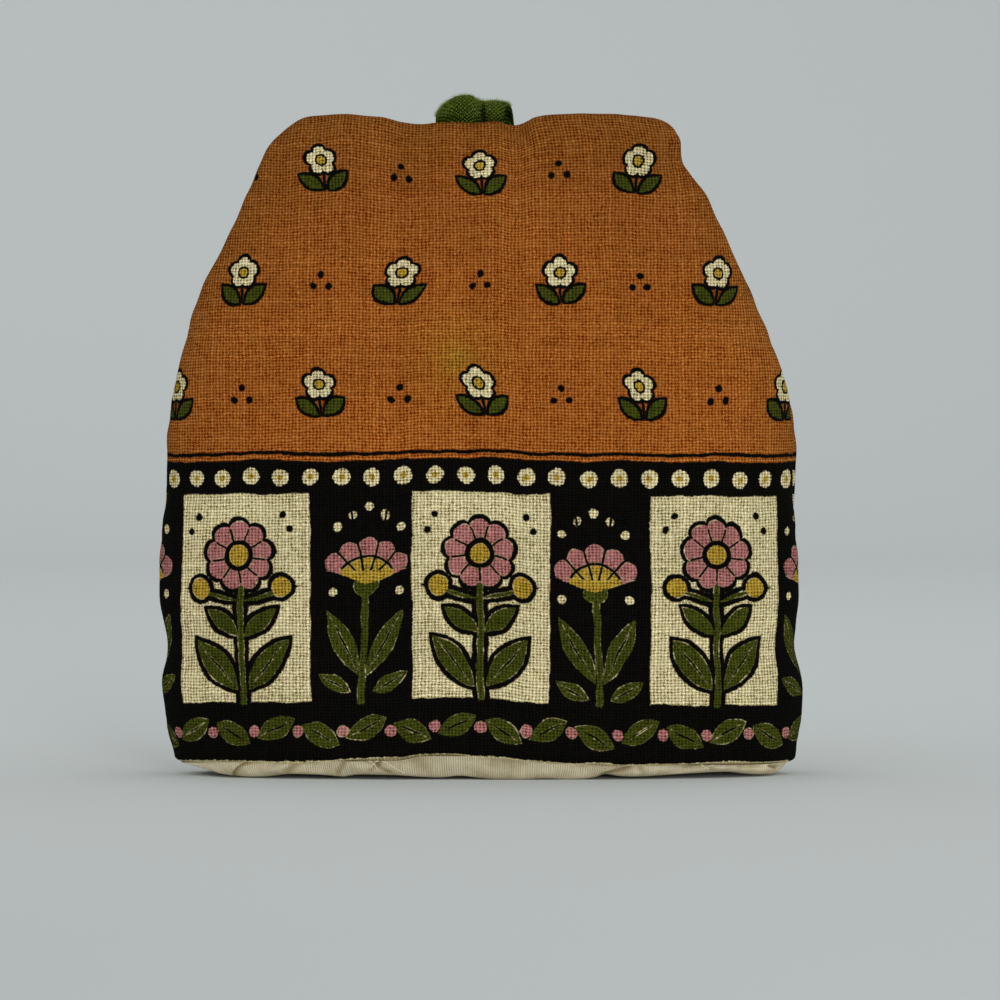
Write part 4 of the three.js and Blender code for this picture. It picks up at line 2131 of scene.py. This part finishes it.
@dataclass(frozen=True)
class PrintedLinen:
    """Plain-weave linen with the border print.

    The rust ground is darker along the seams, partly as worn dye and partly as painted shade; it carries
    painted shade towards the top, and one faint yellow stain with a wide halo. Threads carry a painted
    highlight on their crowns and painted shade in the holes between them, and their brightness falls with their
    height as painted shade.
    """

    weave: Weave = Weave(0.543, 0.465, 0.86)
    pattern: BorderPrint = BorderPrint()
    roughness: float = 0.92
    specular: float = 0.035
    thread_height: float = 0.12
    # Painted shade in the holes between threads.
    gap_shade_tint: Colour = (0.33, 0.28, 0.125)
    gap_hem: Span = (0.5, 1.5)
    # Painted highlight on the thread crowns: its tint, and where it falls.
    crown_highlight_tint: Colour = (1.25, 1.36, 1.6)
    crown_highlight: Span = (0.68, 0.98)
    crown_tone: Line = (1.2, 0.05)
    # Painted shade in the holes between the rust ground's threads.
    rust_gap_shade: Colour = (1.33, 0.73, 0.05)
    # Painted highlight on the rust ground's thread crowns.
    rust_crown_highlight: Colour = (1.1, 1.3, 2.1)
    wobble: float = 0.95
    wobble_scale: float = 0.17
    slip: float = 0.8
    slip_scale: float = 0.3
    slip_middle: float = 0.54
    bleed: float = 0.16
    bleed_level: float = 0.6
    feather: float = 0.3
    feather_scale: float = 1.9
    # Rust near the seams: darker partly as worn dye and partly as painted shade.
    worn_and_shaded: Colour = (0.275, 0.101, 0.0145)
    worn_and_shade_share: float = 0.75
    # Painted shade: where, and how much, the rust ground darkens towards the top.
    dark: Span = (58.0, 112.0)
    top_shade: float = 0.235
    stain: Colour = (0.3, 0.19, 0.012)
    stain_across: float = -3.65
    stain_up: float = 62.9
    stain_radius: float = 4.0
    stain_share: float = 0.34
    stain_feather: float = 2.0
    halo_radius: float = 12.0
    halo_share: float = 0.2
    patch_scale: float = 0.07
    patch_detail: float = 3.0
    tone_light: Line = (0.4, 0.7)
    # Painted shade that deepens as the threads sink.
    relief_shade: Line = (0.55, 0.56)
    patch_light: Line = (0.3, 0.85)

    def build(self, group: bpy.types.NodeTree) -> bpy.types.Material:
        """Makes the material.

        Args:
            group: The weave group.

        Returns:
            The printed linen.
        """
        material, tree, shader = new_material("printed_linen", self.roughness, self.specular)
        across, up = flat_place(tree)
        height, gap, tone = self.weave.place(tree, group, across, up)
        sway_x, sway_y = noise(across, up, self.wobble_scale)
        fine, _ = noise(across, up, self.feather_scale)
        apart, _ = noise(up, across, self.slip_scale)
        patch, _ = noise(across, up, self.patch_scale, self.patch_detail)
        bleed = (self.bleed_level - height) * self.bleed + fine.about_zero(self.feather)
        slip = (apart - self.slip_middle) * self.slip
        # Where the painted highlight on the thread crowns falls.
        crown_highlight = height.ramp(*self.crown_highlight) * tone.line(*self.crown_tone)
        gap = gap * up.ramp(*self.gap_hem)
        # Worn dye and painted shade: the rust ground darkens near the seams.
        ground = paint(tree, Ink.RUST.value, self.worn_and_shaded, mark(tree, FlatCloth.SEAM_NEARNESS) * self.worn_and_shade_share)
        # Painted shade: the rust ground darkens towards the top.
        ground = shade(tree, ground, 1.0 - up.ramp(*self.dark) * self.top_shade)
        # Painted shade in the holes between the rust ground's threads.
        ground = paint(tree, ground, self.rust_gap_shade, gap, Laying.TINT)
        # Painted highlight on the rust ground's thread crowns.
        ground = paint(tree, ground, self.rust_crown_highlight, crown_highlight, Laying.TINT)
        blot = length(across - self.stain_across, up - self.stain_up) + fine.about_zero(self.stain_feather)
        soaked = blot.ramp(self.stain_radius, 0.0) * self.stain_share
        soaked = soaked + blot.ramp(self.halo_radius, 0.0) * self.halo_share
        ground = paint(tree, ground, self.stain, soaked)
        drawn = (across + sway_x.about_zero(self.wobble), up + sway_y.about_zero(self.wobble))
        colour = self.pattern.paint(tree, drawn, bleed, slip, ground)
        # Painted shade in the holes between threads.
        colour = paint(tree, colour, self.gap_shade_tint, gap, Laying.TINT)
        # Painted highlight on the thread crowns.
        colour = paint(tree, colour, self.crown_highlight_tint, crown_highlight, Laying.TINT)
        # Brightness: random tone and patches, times painted shade that deepens as the threads sink.
        light = tone.line(*self.tone_light) * height.line(*self.relief_shade) * patch.line(*self.patch_light)
        tree.links.new(shade(tree, colour, light), shader.inputs["Base Color"])
        raise_threads(tree, shader, height, self.thread_height)
        return material


@dataclass(frozen=True)
class LiningCotton:
    """Cream cotton poplin: close upright ribs, crossed by a finer weft, with painted shade between the ribs, in
    the holes and in the roll's folds, and paler towards the side seams.
    """

    weave: Weave = Weave(0.36, 0.13, 0.85)
    roughness: float = 0.85
    specular: float = 0.15
    thread_height: float = 0.07
    cotton: Colour = (0.62, 0.552, 0.385)
    soiled: Colour = (0.465, 0.39, 0.24)
    soiling: Span = (0.35, 0.75)
    soiled_share: float = 0.6
    patch_scale: float = 0.25
    patch_detail: float = 3.0
    # Painted shade between the ribs and in the holes.
    gap_shade_tint: Colour = (0.6, 0.56, 0.48)
    gap_share: float = 0.5
    rib_edge: Span = (0.22, 0.5)
    # Painted shade in the roll's folds.
    fold_shade_tint: Colour = (0.55, 0.49, 0.38)
    # Paler towards the side seams.
    seam_pale_tint: Colour = (1.45, 1.46, 1.5)
    tone_light: Line = (0.3, 0.86)

    def build(self, group: bpy.types.NodeTree) -> bpy.types.Material:
        """Makes the material.

        Args:
            group: The weave group.

        Returns:
            The lining cotton.
        """
        material, tree, shader = new_material("lining_cotton", self.roughness, self.specular)
        across, up = flat_place(tree)
        height, gap, tone = self.weave.place(tree, group, across, up)
        patch, _ = noise(across, up, self.patch_scale, self.patch_detail)
        colour = paint(tree, self.cotton, self.soiled, patch.ramp(*self.soiling) * self.soiled_share)
        # Painted shade between the ribs and in the holes.
        rib = abs((across / self.weave.warp_pitch).fract() - 0.5).ramp(*self.rib_edge)
        colour = paint(tree, colour, self.gap_shade_tint, rib.at_least(gap * self.gap_share), Laying.TINT)
        # Painted shade in the roll's folds.
        colour = paint(tree, colour, self.fold_shade_tint, mark(tree, FlatCloth.FOLD_SHADE), Laying.TINT)
        # Paler towards the side seams.
        colour = paint(tree, colour, self.seam_pale_tint, mark(tree, FlatCloth.SEAM_NEARNESS), Laying.TINT)
        tree.links.new(shade(tree, colour, tone.line(*self.tone_light)), shader.inputs["Base Color"])
        raise_threads(tree, shader, height, self.thread_height)
        return material


@dataclass(frozen=True)
class BiasTape:
    """Olive green tape cut on the bias, so that its threads run aslant, with a painted highlight on the thread
    crowns and painted shade in the holes, the kink and the hollow.
    """

    weave: Weave = Weave(0.46, 0.46, 0.8)
    aslant: float = 0.7071
    roughness: float = 0.95
    specular: float = 0.03
    thread_height: float = 0.16
    # The tape's colour in painted shade off the thread crowns, and in a painted highlight on them.
    dark: Colour = (0.018, 0.032, 0.0008)
    light: Colour = (0.165, 0.235, 0.03)
    crown_highlight: Span = (0.74, 1.0)
    crown_tone: Line = (1.3, 0.1)
    gap_shade_tint: Colour = (0.3, 0.3, 0.2)
    fold_shade_tint: Colour = (0.1, 0.12, 0.1)

    def build(self, group: bpy.types.NodeTree) -> bpy.types.Material:
        """Makes the material.

        Args:
            group: The weave group.

        Returns:
            The tape.
        """
        material, tree, shader = new_material("bias_tape", self.roughness, self.specular)
        across, up = flat_place(tree)
        place = ((across + up) * self.aslant, (across - up) * self.aslant)
        height, gap, tone = self.weave.place(tree, group, *place)
        crown_highlight = height.ramp(*self.crown_highlight) * tone.line(*self.crown_tone)
        # Painted highlight on the thread crowns, over the colour in painted shade.
        colour = paint(tree, self.dark, self.light, crown_highlight)
        # Painted shade in the holes between threads.
        colour = paint(tree, colour, self.gap_shade_tint, gap, Laying.TINT)
        # Painted shade in the kink and the hollow.
        colour = paint(tree, colour, self.fold_shade_tint, mark(tree, FlatCloth.FOLD_SHADE), Laying.TINT)
        tree.links.new(colour, shader.inputs["Base Color"])
        raise_threads(tree, shader, height, self.thread_height)
        return material


@dataclass(frozen=True)
class TwistedThread:
    """Twisted fibre: its strands wind round it, with painted shade in the grooves between them."""

    name: str
    ply: Colour
    # Painted shade in the grooves between the strands.
    groove: Colour
    twist: float = 0.3
    strands: int = 2
    groove_edge: Span = (0.1, 0.7)
    roughness: float = 0.8
    specular: float = 0.2

    def build(self) -> bpy.types.Material:
        """Makes the material, a stripe of the turn and the length along each thread.

        Returns:
            The thread's finish.
        """
        material, tree, shader = new_material(self.name, self.roughness, self.specular)
        turn, along = flat_place(tree)
        wound = abs(((along / self.twist + turn) * (math.pi * self.strands)).sin())
        # Painted shade in the grooves between the strands.
        colour = paint(tree, self.groove, self.ply, wound.ramp(*self.groove_edge))
        tree.links.new(colour, shader.inputs["Base Color"])
        return material


COTTON_THREAD = TwistedThread("cotton_thread", (0.7, 0.64, 0.46), (0.4, 0.34, 0.2))
TAPE_FIBRE = TwistedThread("tape_fibre", (0.26, 0.32, 0.06), (0.11, 0.155, 0.02))


# Studio


class Lamp(NamedTuple):
    """A square soft light, its place, aim and size in metres, and the angle that its beam fans out to."""

    name: str
    place: tuple[float, float, float]
    aim: tuple[float, float, float]
    size: float
    watts: float
    spread_deg: float


@dataclass
class Studio:
    """Pale floor that curves up into a backdrop, an even sky, two soft lamps and the camera."""

    floor_half: float = 1600.0
    floor_front: float = -1900.0
    curve_start: float = 1150.0
    curve_radius: float = 600.0
    curve_steps: int = 25
    wall_height: float = 2200.0
    floor_colour: Colour = (0.685, 0.712, 0.696)
    floor_roughness: float = 0.85
    floor_specular: float = 0.1
    sky_colour: Colour = (0.95, 0.98, 1.0)
    sky_strength: float = 0.66
    lamps: tuple[Lamp, ...] = (
        Lamp("key", (0.2, -1.0, 0.14), (0.0, 0.0, 0.05), 0.22, 0.15, 30.0),
        Lamp("backdrop", (0.0, 0.2, 1.2), (0.0, 1.75, 0.6), 1.2, 2.5, 180.0),
    )
    target: tuple[float, float, float] = (3.0, 0.0, 43.15)
    distance: float = 850.0
    elevation_deg: float = 1.0
    frame_width: float = 157.5
    sensor_mm: float = 36.0

    def build(self) -> None:
        """Makes the floor, the lights and the camera."""
        self.make_floor()
        self.make_lights()
        self.make_camera()

    def make_floor(self) -> None:
        """Sweeps a profile along X: level, then a quarter circle, then upright."""
        turn = np.linspace(0, QUARTER_TURN, self.curve_steps)
        y = np.concatenate(([self.floor_front], self.curve_start + self.curve_radius * np.sin(turn)))
        z = np.concatenate(([0.0], self.curve_radius * (1 - np.cos(turn))))
        y, z = np.append(y, y[-1]), np.append(z, self.wall_height)
        left, right = np.full_like(y, -self.floor_half), np.full_like(y, self.floor_half)
        points = np.concatenate((np.stack((left, y, z), -1), np.stack((right, y, z), -1)))
        step, count = np.arange(len(y) - 1), len(y)
        faces = np.stack((step, count + step, count + step + 1, step + 1), axis=-1)
        mesh = bpy.data.meshes.new("floor")
        mesh.from_pydata(points * MM, [], faces.tolist())
        mesh.polygons.foreach_set("use_smooth", np.ones(len(mesh.polygons), dtype=bool))
        floor = bpy.data.objects.new("floor", mesh)
        bpy.context.collection.objects.link(floor)
        material, _, shader = new_material("pale_floor", self.floor_roughness, self.floor_specular)
        shader.inputs["Base Color"].default_value = (*self.floor_colour, 1)
        mesh.materials.append(material)

    def make_lights(self) -> None:
        """Adds the sky, a low lamp in front, gridded to spare the floor, and a wide one for the backdrop."""
        for lamp in self.lamps:
            light = bpy.data.lights.new(lamp.name, "AREA")
            light.size = lamp.size
            light.energy = lamp.watts
            light.spread = math.radians(lamp.spread_deg)
            made = bpy.data.objects.new(lamp.name, light)
            made.location = lamp.place
            made.rotation_euler = (Vector(lamp.aim) - Vector(lamp.place)).to_track_quat("-Z", "Y").to_euler()
            made.visible_camera = False
            bpy.context.collection.objects.link(made)
        world = bpy.data.worlds.new("studio")
        world.use_nodes = True
        sky = world.node_tree.nodes["Background"]
        sky.inputs["Color"].default_value = (*self.sky_colour, 1)
        sky.inputs["Strength"].default_value = self.sky_strength
        bpy.context.scene.world = world

    def make_camera(self) -> None:
        """Aims the camera so that the frame spans the photograph's width at the body's middle plane."""
        lens = bpy.data.cameras.new("camera")
        lens.sensor_width = self.sensor_mm
        lens.lens = self.sensor_mm * self.distance / self.frame_width
        camera = bpy.data.objects.new("camera", lens)
        rise = math.radians(self.elevation_deg)
        target = Vector(self.target) * MM
        back = Vector((0, -math.cos(rise), math.sin(rise))) * self.distance * MM
        camera.location = target + back
        camera.rotation_euler = (-back).to_track_quat("-Z", "Y").to_euler()
        bpy.context.collection.objects.link(camera)
        bpy.context.scene.camera = camera
        bpy.context.scene.view_settings.view_transform = "Standard"


def main() -> None:
    """Builds the studio and each piece in order, and reports each through the log."""
    logging.basicConfig(level=logging.INFO, format="%(name)s: %(message)s")
    Studio().build()
    shape = CosyShape()
    group = WeaveGroup().build()
    linen = PrintedLinen().build(group)
    pieces = [Panel(face, shape).dress(linen) for face in Face]
    lining, loop = Lining(shape), TapeLoop()
    pieces.append(lining.dress(LiningCotton().build(group)))
    pieces.append(HemStitches(lining).dress(COTTON_THREAD.build()))
    pieces.append(loop.dress(BiasTape().build(group)))
    pieces.append(LoopFuzz(loop).dress(TAPE_FIBRE.build()))
    for piece in pieces:
        LOG.info("%s: %d faces", piece.name, len(piece.data.polygons))


if __name__ == "__main__":
    main()
